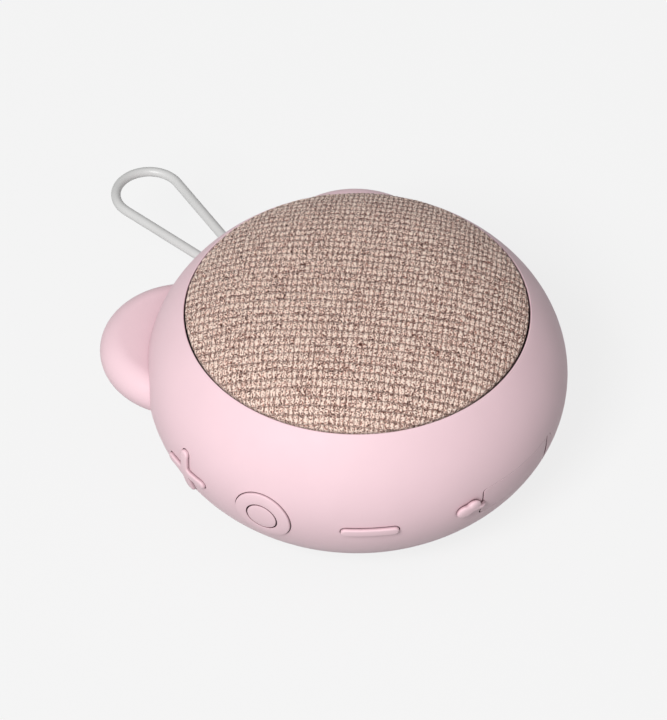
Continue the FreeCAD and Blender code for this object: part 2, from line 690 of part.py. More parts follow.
def dome_up(radius, drop):
    """Corners that climb the dome from a radius to the axis, `drop` below its face."""
    return [(radius, shoulder_height(radius, drop), f"shoulder_radius - ({drop})"),
            (*knee_point(drop), f"crown_radius - ({drop})"),
            ("0", f"fabric_crown - ({drop})")]


def dome_down(radius, drop):
    """The same curve, followed from the axis out to a radius."""
    return [("0", f"fabric_crown - ({drop})", f"({drop}) - crown_radius"),
            (*knee_point(drop), f"({drop}) - shoulder_radius"),
            (radius, shoulder_height(radius, drop))]


def make_grille():
    hem_inner = "fabric_radius - fabric_depth"
    fabric = turned("grille_fabric", [
        ("fabric_radius", "fabric_hem"), *dome_up("fabric_radius", "0"),
        *dome_down(hem_inner, "fabric_depth"), (hem_inner, "fabric_hem")])
    keep(fabric, "grille_fabric")
    top = "fabric_depth + grille_gap"
    dome = turned("grille_dome", [
        *dome_up("grille_radius", top), *dome_down("grille_radius", f"{top} + grille_depth")])
    for row in range(1, 6):
        sketch = new_sketch(dome, f"grille_sketch_{row}", "XY_Plane", shift="fabric_crown")
        draw_circle(sketch, f"grille_pitch * {row}", "0", "grille_hole")
        hole = pocket(dome, sketch, f"grille_hole_{row}", "grille_blank")
        pattern(dome, hole, f"grille_row_{row}", f"{6 * row}")
    keep(dome, "grille_dome")
    keep(ring("grille_ring", "ring_inner", "ring_outer", "ring_bottom", "ring_top"), "grille_ring")


# ---- ears and hanging loop --------------------------------------------------------------

def make_ears(ball):
    for side, angle in (("left", "ear_angle"), ("right", "360 - ear_angle")):
        blank = turned(f"ear_blank_{side}", [
            ("0", "-ear_half_depth"),
            ("ear_radius - ear_half_depth", "-ear_half_depth", "ear_half_depth"),
            ("ear_radius - ear_half_depth", "ear_half_depth"),
            ("0", "ear_half_depth")])
        place(blank, "0", "ear_reach", "ear_height")
        trimmed = combine("Cut", f"ear_trimmed_{side}", blank, ball)
        spigot = cylinder(f"ear_spigot_{side}", "spigot_radius", "spigot_outer - spigot_inner")
        spigot.Placement = Placement(Vector(0, 0, 0), Rotation(Vector(1, 0, 0), -90))
        place(spigot, "0", "spigot_inner", "ear_height")
        ear = combine("Fuse", f"ear_{side}", trimmed, spigot)
        turn_to(ear, angle)
        keep(ear, f"ear_{side}")


def loop_lean():
    """Angle between each leg and +Y: the leg starts at the pivot and touches the bend."""
    reach = "(loop_end - loop_pivot)"
    away = f"sqrt({reach} * {reach} + loop_spread * loop_spread)"
    return f"(asin(loop_bend / {away}) - atan(loop_spread / {reach}))"


def make_loop():
    """A flat teardrop; round tips at the pivot let it swing up and down."""
    body = new_body("loop_tube")
    lean = loop_lean()
    touch_x = f"loop_bend * cos({lean})"
    touch_y = f"(loop_end - loop_bend * sin({lean}))"
    path = new_sketch(body, "loop_path", "XY_Plane", shift="loop_height")
    feet = [Vector(sign * size("loop_spread"), size("loop_pivot"), 0) for sign in (1, -1)]
    ends = [Vector(sign * size(touch_x), size(touch_y), 0) for sign in (1, -1)]
    right = path.addGeometry(Part.LineSegment(feet[0], ends[0]), False)
    bend = path.addGeometry(arc_between(ends[0], ends[1], size("loop_bend")), False)
    left = path.addGeometry(Part.LineSegment(ends[1], feet[1]), False)
    path.addConstraint(Sketcher.Constraint("Tangent", right, 2, bend, 1))
    path.addConstraint(Sketcher.Constraint("Tangent", bend, 2, left, 1))
    fix_point(path, right, 1, "loop_spread", "loop_pivot")
    fix_point(path, left, 2, "-loop_spread", "loop_pivot")
    fix_point(path, bend, 3, "0", "loop_end")
    section = new_sketch(body, "loop_circle", "XZ_Plane", shift="-loop_pivot")
    draw_circle(section, "loop_spread", "loop_height", "loop_section")
    pipe = body.newObject("PartDesign::AdditivePipe", "loop_pipe")
    pipe.Profile = section
    pipe.Spine = (path, ["Edge1", "Edge2", "Edge3"])
    joined = body
    for side, across in (("right", "loop_spread"), ("left", "-loop_spread")):
        tip = doc.addObject("Part::Sphere", f"loop_tip_{side}")
        tip.setExpression("Radius", bound("loop_tip"))
        place(tip, across, "loop_pivot", "loop_height")
        joined = combine("Fuse", f"loop_with_{side}_tip", joined, tip)
    keep(joined, "hanging_loop")


def make_loop_root():
    """The legs' fixed ends: a toggle bar behind the housing wall and two short pegs."""
    bar = cylinder("toggle_bar", "toggle_radius", "2 * toggle_half")
    bar.Placement = Placement(Vector(0, 0, 0), Rotation(Vector(0, 1, 0), 90))
    joined = place(bar, "-toggle_half", "toggle_reach", "loop_height")
    for side, across in (("right", "loop_spread"), ("left", "-loop_spread")):
        peg = cylinder(f"root_peg_{side}", "loop_section", "root_tip - toggle_reach")
        peg.Placement = Placement(Vector(0, 0, 0), Rotation(Vector(1, 0, 0), -90))
        place(peg, across, "toggle_reach", "loop_height")
        joined = combine("Fuse", f"root_with_{side}_peg", joined, peg)
    keep(joined, "loop_root")


# ---- the three side buttons and their switches --------------------------------------------

def make_button(label, angle, draw, proud, balls):
    """A raised symbol on a curved flange that lies in the housing's window."""
    outer, inner = balls
    stem = new_body(f"{label}_stem")
    for index, (shape, growth) in enumerate(draw):
        sketch = new_sketch(stem, f"{label}_symbol_{index}", "XZ_Plane", shift="-flange_start")
        shape(sketch, growth)
        pad(stem, sketch, f"{label}_pad_{index}", "button_blank - flange_start", outwards=True)
    cap = combine("Common", f"{label}_cap", stem, proud)
    flange = cylinder(f"{label}_disc", "flange_radius", "button_blank - flange_start")
    flange.Placement = Placement(Vector(0, 0, 0), Rotation(Vector(1, 0, 0), -90))
    place(flange, "0", "flange_start", "button_height")
    curved = combine("Common", f"{label}_flange", flange, outer)
    whole = combine("Fuse", f"{label}_whole", cap, curved)
    button = combine("Cut", label, whole, inner)
    turn_to(button, angle)
    keep(button, label)


def draw_play(sketch, growth):
    draw_circle(sketch, "0", "button_height", f"play_radius + {growth}")


def make_buttons():
    balls = (solid_ball("flange_outer_ball", "-flange_outer_depth"),
             solid_ball("flange_inner_ball", "-flange_inner_depth"))
    bar_ball = solid_ball("button_ball", "button_proud")
    disc_ball = solid_ball("play_ball", "play_proud")
    cross = ((draw_bar, "0"), (draw_upright_bar, "0"))
    make_button("button_plus", "plus_angle", cross, bar_ball, balls)
    make_button("button_minus", "minus_angle", ((draw_bar, "0"),), bar_ball, balls)
    make_button("button_play", "play_angle", ((draw_play, "0"),), disc_ball, balls)


def curved_strip(label, outside, inside, low, high):
    """A strip that follows the housing wall behind the buttons."""
    body = new_body(label)
    sketch = new_sketch(body, f"{label}_outline", "XZ_Plane")
    outer = ("equator_height", f"body_radius - ({outside})", f"body_rise - ({outside})", True)
    inner = ("equator_height", f"body_radius - ({inside})", f"body_rise - ({inside})", False)
    corners = [(ball_radius(low, outside), low, "up"), (ball_radius(high, outside), high, "up"),
               (ball_radius(high, inside), high, "up"), (ball_radius(low, inside), low, "up")]
    draw_chain(sketch, corners, {0: outer, 2: inner})
    feature = revolve(body, sketch, f"{label}_turned")
    feature.setExpression("Angle", bound("stack_sweep"))
    turn_to(body, "stack_start + 90")
    keep(body, label)


def make_switch_stack():
    curved_strip("button_membrane", "membrane_outer_depth", "membrane_inner_depth",
                 "membrane_low", "membrane_high")
    curved_strip("button_flex", "flex_outer_depth", "flex_inner_depth", "stack_low", "stack_high")
    curved_strip("button_bracket", "bracket_outer_depth", "bracket_inner_depth",
                 "stack_low", "stack_high")
    switches = []
    for name in ("plus", "play", "minus"):
        switch = cylinder(f"switch_{name}", "switch_radius", "switch_outer - switch_inner")
        switch.Placement = Placement(Vector(0, 0, 0), Rotation(Vector(1, 0, 0), -90))
        place(switch, "0", "switch_inner", "button_height")
        holder = group_alone(f"switch_{name}_turned", switch)
        turn_to(holder, f"{name}_angle")
        switches.append(holder)
    group("dome_switches", switches)


def group_alone(name, item):
    """One item in a holder of its own, so that it can be turned about the Z axis."""
    holder = doc.addObject("Part::Compound", name)
    holder.Links = [item]
    return holder


# ---- port flap and charging port ------------------------------------------------------------

def draw_neck(sketch, growth):
    draw_outline(sketch, [
        ("neck_start", "flap_height - neck_tall / 2"), ("tab_near", "flap_height - neck_tall / 2"),
        ("tab_near", "flap_height + neck_tall / 2"),
        ("neck_start", "flap_height + neck_tall / 2")])


def outward_prism(name, draw, growth="0"):
    body = new_body(name)
    sketch = new_sketch(body, f"{name}_sketch", "XZ_Plane", shift="-flange_start")
    draw(sketch, growth)
    pad(body, sketch, f"{name}_pad", "button_blank - flange_start", outwards=True)
    return body


def between_balls(name, prism, outer, inner):
    trimmed = combine("Common", f"{name}_trimmed", prism, outer)
    return combine("Cut", name, trimmed, inner)


def make_flap(skin_ball):
    """The flap, its round hinge end, the seal plug behind it and the bean-shaped pull tab."""
    back = solid_ball("flap_back_ball", "-flap_depth")
    plate = between_balls("flap_plate", outward_prism("flap_prism", draw_flap), skin_ball, back)
    rod = cylinder("flap_rod", "barrel_radius", "flap_tall")
    rod.Placement = Placement(Vector(0, 0, 0), Rotation(Vector(1, 0, 0), -size("barrel_tilt")))
    place(rod, "-flap_half", "barrel_reach - flap_tall / 2 * sin(barrel_tilt)",
          "flap_height - flap_tall / 2 * cos(barrel_tilt)")
    barrel = combine("Common", "flap_barrel", rod, skin_ball)
    plug = box("flap_plug", "2 * plug_half", "plug_outer - plug_inner", "plug_tall",
               "-plug_half", "plug_inner", "flap_height - plug_tall / 2")
    lift = solid_ball("tab_lift_ball", "tab_lift")
    tab_ball = solid_ball("tab_ball", "tab_proud")
    neck_ball = solid_ball("neck_ball", "neck_proud")
    neck = between_balls("flap_neck", outward_prism("neck_prism", draw_neck), neck_ball, lift)
    root = between_balls("neck_root", outward_prism("root_prism", draw_root), neck_ball, back)
    pieces = [plate, barrel, plug, neck, root]
    for name, across, height in (("near", "tab_near", "flap_height + tab_near_up"),
                                 ("far", "tab_far", "flap_height + tab_far_up")):
        lobe = cylinder(f"tab_lobe_{name}", "tab_lobe", "button_blank - flange_start")
        lobe.Placement = Placement(Vector(0, 0, 0), Rotation(Vector(1, 0, 0), -90))
        place(lobe, across, "flange_start", height)
        pieces.append(between_balls(f"flap_tab_{name}", lobe, tab_ball, lift))
    whole = doc.addObject("Part::MultiFuse", "port_flap")
    whole.Shapes = pieces
    turn_to(whole, "flap_angle")
    keep(whole, "port_flap")


def draw_root(sketch, growth):
    """Where the tab's neck grows out of the flap, just inside the flap's free end."""
    draw_outline(sketch, [
        ("neck_start - weld", "flap_height - neck_tall / 2"),
        ("flap_half - flap_gap", "flap_height - neck_tall / 2"),
        ("flap_half - flap_gap", "flap_height + neck_tall / 2"),
        ("neck_start - weld", "flap_height + neck_tall / 2")])


def make_flap_anchor(skin_ball):
    inner = solid_ball("anchor_ball", "-anchor_depth")
    prism = outward_prism("anchor_prism", draw_anchor)
    anchor = between_balls("flap_anchor", prism, skin_ball, inner)
    turn_to(anchor, "flap_angle")
    keep(anchor, "flap_anchor")


def draw_stadium(sketch, half, tall):
    """A flat slot with fully rounded ends, centred on the port."""
    straight = f"{half} - {tall} / 2"
    low = f"flap_height - {tall} / 2"
    high = f"flap_height + {tall} / 2"
    draw_outline(sketch, [(f"-({straight})", low), (straight, low, f"{tall} / 2"),
                          (straight, high), (f"-({straight})", high, f"{tall} / 2")])


def make_port():
    shell = new_body("usb_shell")
    sketch = new_sketch(shell, "shell_sketch", "XZ_Plane", shift="-shell_inner")
    draw_stadium(sketch, "shell_half", "shell_tall")
    pad(shell, sketch, "shell_pad", "shell_outer - shell_inner", outwards=True)
    sketch = new_sketch(shell, "shell_mouth", "XZ_Plane", shift="-shell_inner - shell_skin")
    draw_stadium(sketch, "(shell_half - shell_skin)", "(shell_tall - 2 * shell_skin)")
    pocket(shell, sketch, "shell_pocket", "button_blank - shell_inner")
    turn_to(shell, "flap_angle")
    keep(shell, "usb_shell")
    tongue = box("tongue_block", "2 * tongue_half", "tongue_outer - shell_inner - shell_skin",
                 "tongue_tall", "-tongue_half", "shell_inner + shell_skin",
                 "flap_height - tongue_tall / 2")
    holder = group_alone("usb_tongue", tongue)
    turn_to(holder, "flap_angle")
    keep(holder, "usb_tongue")
    board = box("port_board_plate", "2 * port_board_half", "port_board_outer - port_board_inner",
                "port_board_depth", "-port_board_half", "port_board_inner",
                "flap_height - shell_tall / 2 - port_board_depth")
    holder = group_alone("port_board", board)
    turn_to(holder, "flap_angle")
    keep(holder, "port_board")
    gasket = new_body("port_gasket")
    sketch = new_sketch(gasket, "gasket_sketch", "XZ_Plane", shift="-port_gasket_inner")
    draw_stadium(sketch, "port_gasket_half", "port_gasket_tall")
    pad(gasket, sketch, "gasket_pad", "port_gasket_outer - port_gasket_inner", outwards=True)
    sketch = new_sketch(gasket, "gasket_hole_sketch", "XZ_Plane", shift="-port_gasket_inner")
    draw_stadium(sketch, "(shell_half + seat_gap)", "(shell_tall + 2 * seat_gap)")
    pocket(gasket, sketch, "gasket_hole", "button_blank - port_gasket_inner")
    turn_to(gasket, "flap_angle")
    keep(gasket, "port_gasket")


# ---- loudspeaker ------------------------------------------------------------------------------

def make_driver_frame():
    body = turned("driver_frame", [
        ("frame_radius", "gasket_top"), ("frame_radius", "frame_top"),
        ("ledge_outer", "frame_top"), ("ledge_outer", "frame_ledge"),
        ("ledge_inner", "frame_ledge"), ("ledge_inner", "gasket_top"),
        ("basket_low_inner", "spider_seat"), ("spider_inner", "spider_seat"),
        ("spider_inner", "basket_floor"), ("magnet_hole", "basket_floor"),
        ("magnet_hole", "basket_bottom"), ("basket_low_outer", "basket_bottom"),
        ("basket_low_outer", "basket_knee"), ("basket_outer", "gasket_top")])
    sketch = new_sketch(body, "basket_window_sketch", "YZ_Plane")
    draw_box(sketch, "window_half", "window_low", "window_high")
    window = pocket(body, sketch, "basket_window", "frame_radius", upwards=True)
    pattern(body, window, "basket_windows", "4")
    sketch = new_sketch(body, "frame_screw_sketch", "XY_Plane", shift="frame_top")
    draw_circle(sketch, "frame_screw_circle", "0", "frame_screw_radius")
    hole = pocket(body, sketch, "frame_screw_hole", "frame_top - gasket_top")
    pattern(body, hole, "frame_screw_holes", "frame_screw_count")
    keep(body, "driver_frame")
    gasket = ring("driver_gasket", "ledge_outer", "frame_radius", "gasket_bottom", "gasket_top")
    sketch = new_sketch(gasket, "gasket_screw_sketch", "XY_Plane", shift="gasket_top")
    draw_circle(sketch, "frame_screw_circle", "0", "frame_screw_radius")
    hole = pocket(gasket, sketch, "gasket_screw_hole", "gasket_top - gasket_bottom")
    pattern(gasket, hole, "gasket_screw_holes", "frame_screw_count")
    keep(gasket, "driver_gasket")


def make_motor():
    keep(ring("top_plate", "magnet_hole", "top_plate_radius", "top_plate_bottom",
              "basket_bottom"), "top_plate")
    keep(ring("magnet", "magnet_inner", "magnet_radius", "magnet_bottom", "top_plate_bottom"),
         "magnet")
    keep(turned("yoke", [
        ("0", "yoke_bottom"), ("yoke_radius", "yoke_bottom"), ("yoke_radius", "magnet_bottom"),
        ("pole_radius", "magnet_bottom"), ("pole_radius", "pole_top"), ("0", "pole_top")]), "yoke")


def make_cone():
    keep(turned("voice_coil", [
        ("former_inner", "former_bottom"), ("former_outer", "former_bottom"),
        ("former_outer", "coil_bottom"), ("coil_outer", "coil_bottom"),
        ("coil_outer", "coil_top"), ("former_outer", "coil_top"),
        ("former_outer", "former_top"), ("former_inner", "former_top")]), "voice_coil")
    keep(turned("cone", [
        ("former_outer", "cone_neck"), ("cone_edge - cone_depth", "cone_rim"),
        ("cone_edge", "cone_rim"), ("cone_edge", "cone_rim + cone_depth"),
        ("cone_edge - 2 * cone_depth", "cone_rim + cone_depth"),
        ("former_outer", "cone_neck + 1.5 * cone_depth")]), "cone")
    keep(turned("dust_cap", [
        ("0", "former_top + 2 * cone_depth"),
        ("cap_radius", "former_top"),
        ("cap_radius", "former_top + cone_depth"),
        ("0", "former_top + 4 * cone_depth")]), "dust_cap")
    roll = "(roll_outer - surround_inner) / 2"
    keep(turned("surround", [
        ("surround_inner", "surround_lift"), ("surround_outer", "surround_lift"),
        ("surround_outer", "surround_lift + surround_depth"),
        ("roll_outer", "surround_lift + surround_depth", roll),
        ("surround_inner", "surround_lift + surround_depth")]), "surround")
    wave = "(spider_inner - spider_neck) / 4"
    low = "spider_seat"
    corners = [("basket_low_inner - 2 * spider_depth", low)]
    for index in range(1, 4):
        corners.append((f"spider_inner - {wave} * {index}", f"{low} + spider_depth * {index % 2}"))
    corners.append(("spider_neck", low))
    corners.append(("spider_neck", f"{low} + spider_depth"))
    for index in range(3, 0, -1):
        corners.append((f"spider_inner - {wave} * {index}",
                        f"{low} + spider_depth * {1 + index % 2}"))
    corners.append(("basket_low_inner - 2 * spider_depth", f"{low} + spider_depth"))
    keep(turned("spider", corners[::-1]), "spider")


# ---- electronics --------------------------------------------------------------------------------

def make_boards():
    board = turned("main_board", [
        ("0", "board_bottom"), ("board_radius", "board_bottom"),
        ("board_radius", "board_top"), ("0", "board_top")])
    sketch = new_sketch(board, "board_hole_sketch", "XY_Plane", shift="board_top")
    draw_circle(sketch, "0", "base_screw_circle", "screw_radius")
    hole = pocket(board, sketch, "board_hole", "board_top - board_bottom")
    pattern(board, hole, "board_holes", "stud_count")
    keep(board, "main_board")
    keep(box("bluetooth_module", "module_length", "module_width", "module_depth",
             "-module_length / 2", "-module_y - module_width / 2", "board_top"),
         "bluetooth_module")
    keep(box("amplifier_chip", "amp_side", "amp_side", "amp_depth",
             "amp_x - amp_side / 2", "-amp_side / 2", "board_top"), "amplifier_chip")
    cans = []
    for index, angle in enumerate((150, 180, 210)):
        can = cylinder(f"can_{index}", "can_radius", "can_depth", "0", "can_reach", "board_top")
        holder = group_alone(f"can_{index}_turned", can)
        turn_to(holder, str(angle))
        cans.append(holder)
    group("capacitors", cans)


def make_battery():
    cell = box("cell_block", "cell_length", "cell_width", "cell_top - cell_bottom",
               "-cell_length / 2", "-cell_width / 2", "cell_bottom")
    rounded = doc.addObject("Part::Fillet", "battery_cell")
    rounded.Base = cell
    doc.recompute()
    upright = [index for index, edge in enumerate(cell.Shape.Edges, start=1)
               if abs(edge.tangentAt(0).z) > 0.9]
    rounded.Edges = [(index, size("cell_round"), size("cell_round")) for index in upright]
    keep(rounded, "battery_cell")
    outer = box("tray_outer", "cell_length + 2 * (tray_wall + seat_gap)",
                "cell_width + 2 * (tray_wall + seat_gap)", "tray_lip - tray_bottom",
                "-cell_length / 2 - tray_wall - seat_gap",
                "-cell_width / 2 - tray_wall - seat_gap", "tray_bottom")
    inner = box("tray_inner", "cell_length + 2 * seat_gap", "cell_width + 2 * seat_gap",
                "tray_lip - cell_bottom + tray_wall", "-cell_length / 2 - seat_gap",
                "-cell_width / 2 - seat_gap", "cell_bottom")
    hollow = combine("Cut", "tray_hollow", outer, inner)
    pieces = [hollow]
    for index, (across, along) in enumerate(((1, 1), (1, -1), (-1, 1), (-1, -1))):
        pieces.append(cylinder(
            f"tray_leg_{index}", "tray_leg", "tray_bottom + tray_wall / 2 - board_top",
            f"{across} * (cell_length / 2 - tray_leg)",
            f"{along} * (cell_width / 2 - tray_leg)", "board_top"))
    tray = doc.addObject("Part::MultiFuse", "battery_tray")
    tray.Shapes = pieces
    keep(tray, "battery_tray")


# ---- assembly, checks and files -----------------------------------------------------------------

def make_all():
    skin_ball = solid_ball("skin_ball", "0")
    make_sleeve()
    make_lower_housing()
    make_upper_housing()
    keep(ring("housing_seal", "seal_inner", "seal_outer", "split_height",
              "split_height + split_seal"), "housing_seal")
    make_screws("housing_screws", "post_count", "post_circle", "post_angle", "screw_radius",
                "screw_head_radius", "housing_screw_tip", "baffle_top", "screw_head_height")
    make_base()
    make_base_screws()
    make_grille()
    make_ears(solid_ball("ear_ball", "ear_gap"))
    make_loop()
    make_loop_root()
    make_buttons()
    make_switch_stack()
    make_flap(skin_ball)
    make_flap_anchor(skin_ball)
    make_port()
    make_driver_frame()
    make_motor()
    make_cone()
    make_screws("driver_screws", "frame_screw_count", "frame_screw_circle", "90",
                "frame_screw_radius", "frame_screw_head", "frame_screw_reach", "frame_top",
                "frame_screw_head / 2")
    make_boards()
    make_screws("board_screws", "stud_count", "base_screw_circle", "0", "screw_radius",
                "screw_head_radius", "board_screw_tip", "board_top", "screw_head_height")
    make_battery()


def check_document():
    doc.recompute()
    for item in doc.Objects:
        if "Invalid" in item.State or "Error" in item.State:
            raise ValueError(f"{item.Name} failed to build: {item.State}")
    for label, item in parts.items():
        shape = item.Shape
        if shape.isNull() or not shape.isValid() or not shape.Solids:
            raise ValueError(f"{label} has no valid solid")
        print(f"{label}: {len(shape.Solids)} solid, {shape.Volume:.1f} mm3")


def write_parts():
    os.makedirs("parts", exist_ok=True)
    for label, item in parts.items():
        item.Shape.exportStep(f"parts/{label}.step")


fill_sheet()
make_all()
check_document()
write_parts()
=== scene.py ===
import json
import math

import bmesh
import bpy
import numpy as np
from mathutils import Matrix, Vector
from mathutils.geometry import delaunay_2d_cdt


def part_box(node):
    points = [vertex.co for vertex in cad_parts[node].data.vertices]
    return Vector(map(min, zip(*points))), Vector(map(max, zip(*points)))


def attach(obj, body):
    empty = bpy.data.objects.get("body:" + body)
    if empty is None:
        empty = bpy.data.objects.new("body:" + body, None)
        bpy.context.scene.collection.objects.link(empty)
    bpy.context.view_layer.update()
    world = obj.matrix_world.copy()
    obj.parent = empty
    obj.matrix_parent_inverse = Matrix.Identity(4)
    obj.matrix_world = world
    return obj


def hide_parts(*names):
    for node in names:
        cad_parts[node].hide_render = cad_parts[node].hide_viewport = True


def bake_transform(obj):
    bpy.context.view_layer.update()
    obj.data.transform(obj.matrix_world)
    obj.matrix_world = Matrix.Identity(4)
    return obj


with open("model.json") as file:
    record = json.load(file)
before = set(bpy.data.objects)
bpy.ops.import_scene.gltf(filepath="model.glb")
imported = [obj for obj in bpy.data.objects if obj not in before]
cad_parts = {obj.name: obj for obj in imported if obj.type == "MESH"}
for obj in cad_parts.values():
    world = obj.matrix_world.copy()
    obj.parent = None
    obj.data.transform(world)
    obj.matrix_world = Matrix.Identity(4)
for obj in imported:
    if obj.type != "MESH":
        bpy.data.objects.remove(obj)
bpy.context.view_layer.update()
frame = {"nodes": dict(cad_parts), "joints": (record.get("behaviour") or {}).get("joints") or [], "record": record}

# The looks of a round shower speaker with two ears and a hanging loop.  Shapes are worked
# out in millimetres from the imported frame's boxes, joints and mounts, and written in metres.
# Angles (theta) are counted from +Y towards -X, as in the CAD.

MM = 0.001
joints = {joint["name"]: joint for joint in frame["joints"]}
mounts = {mount["name"]: mount for mount in frame["record"]["mounts"]}


def box_mm(node):
    """Lowest and highest corner of a CAD node, in millimetres."""
    low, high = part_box(node)
    return low / MM, high / MM


sleeve_low, sleeve_high = box_mm("soft_sleeve")
cloth_low, cloth_high = box_mm("grille_fabric")
_, foot_high = box_mm("base_foot")
ear_low, ear_high = box_mm("ear_left")
_, loop_high = box_mm("hanging_loop")

# the ball that the sleeve's face follows
BALL_RADIUS = sleeve_high.x
BALL_RISE = 31.0
EQUATOR = 24.0
SKIN = 2.2
RIM_RADIUS = 36.7
RIM_ROUND = 0.22
BASE_OPENING = 26.5
LIP_TOP = 3.1

# the openings' edges and what fills them
EDGE = 0.08
FLAP_EDGE = 0.05
GAP = 0.16
FLAP_GAP = 0.04
CAP_DEPTH = 3.4
FLANGE_DEPTH = 2.5
FLANGE_GROWTH = 0.4
BUTTON_PROUD = 0.75
PLAY_PROUD = 0.45
PLAY_RADIUS = 6.4
PLAY_GROOVE = 3.5
BAR_HALF = 6.2
BAR_WIDTH = 2.2


# ---- points on the ball --------------------------------------------------------------

def ball_radius(z, depth=0.0):
    """Radius at a height of the face that lies a depth inside the ball's."""
    share = (np.asarray(z, float) - EQUATOR) / (BALL_RISE - depth)
    return (BALL_RADIUS - depth) * np.sqrt(np.maximum(0.0, 1 - share * share))


def ball_height(radius, depth=0.0):
    share = radius / (BALL_RADIUS - depth)
    return EQUATOR + (BALL_RISE - depth) * math.sqrt(1 - share * share)


def around(theta, radius, z):
    """Points at these angles in degrees, radii and heights."""
    angle = np.radians(theta)
    radius, z = radius + 0 * angle, z + 0 * angle
    return np.stack([-radius * np.sin(angle), radius * np.cos(angle), z], axis=-1)


def facing(theta, x, y, z):
    """Points given as across, outward and up of a feature that faces theta."""
    angle = math.radians(theta)
    across = x * math.cos(angle) - y * math.sin(angle)
    return np.stack([across, x * math.sin(angle) + y * math.cos(angle), z + 0 * across], axis=-1)


def curve(start, bend, end, count):
    """Points along a quadratic curve."""
    return [(1 - t) ** 2 * np.array(start) + 2 * t * (1 - t) * np.array(bend)
            + t * t * np.array(end) for t in np.linspace(0, 1, count)]


def eased(share):
    return share * share * (3 - 2 * share)


def link(piece):
    bpy.context.scene.collection.objects.link(piece)


# ---- a mesh under construction -------------------------------------------------------

class Shell:
    """Points in millimetres and faces between them, made a ring at a time."""

    def __init__(self):
        self.points = []
        self.count = 0
        self.faces = []

    def add(self, points):
        points = np.asarray(points, float).reshape(-1, 3)
        self.points.append(points)
        self.count += len(points)
        return np.arange(self.count - len(points), self.count)

    def bridge(self, ring, other, closed=True):
        """Quads between two rings of equally many points."""
        near, far = (np.roll(ring, -1), np.roll(other, -1)) if closed else (ring[1:], other[1:])
        ring, other = (ring, other) if closed else (ring[:-1], other[:-1])
        self.faces += np.stack([ring, near, far, other], axis=1).tolist()

    def stack(self, rings, *tips):
        """Joins rings in turn, and closes the first and the last to a tip each."""
        for ring, other in zip(rings, rings[1:]):
            self.bridge(ring, other)
        for ring, tip in zip((rings[0], rings[-1]), tips):
            self.fan(ring, tip)

    def fan(self, ring, point):
        """Triangles from a ring to one point."""
        tip = self.add([point])[0]
        self.faces += [[a, b, tip] for a, b in zip(ring, np.roll(ring, -1))]

    def mesh(self, name):
        made = bpy.data.meshes.new(name)
        made.from_pydata((np.concatenate(self.points) * MM).tolist(), [], self.faces)
        made.validate()
        work = bmesh.new()
        work.from_mesh(made)
        bmesh.ops.recalc_face_normals(work, faces=work.faces)
        work.to_mesh(made)
        work.free()
        made.shade_smooth()
        return made


def show(name, made, finish, body, replaced=()):
    """Puts a mesh in the scene as a piece that rides on a body."""
    piece = bpy.data.objects.new(name, made)
    link(piece)
    made.materials.clear()
    made.materials.append(finish)
    if body:
        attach(piece, body)
    if replaced:
        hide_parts(*replaced)
    return piece


def within(points, loop):
    """Which flat points lie inside a closed loop."""
    x, y = points[:, :1], points[:, 1:2]
    ax, ay = loop[:, 0], loop[:, 1]
    bx, by = np.roll(ax, -1), np.roll(ay, -1)
    rise = np.where(by == ay, 1e-12, by - ay)
    hit = ((ay > y) != (by > y)) & (x < (bx - ax) * (y - ay) / rise + ax)
    return hit.sum(axis=1) % 2 == 1


def round_edges(loop):
    return list(zip(loop, np.roll(loop, -1)))


def triangulate(points, edges):
    """Triangles over flat points that keep these edges, as indices of the points."""
    edges = [(int(a), int(b)) for a, b in edges]
    flat = [Vector(point) for point in points]
    _, _, faces, origins, _, _ = delaunay_2d_cdt(flat, edges, [], 0, 1e-7)
    return np.array([[origins[i][0] for i in face] for face in faces])


# ---- outlines on the ball ------------------------------------------------------------

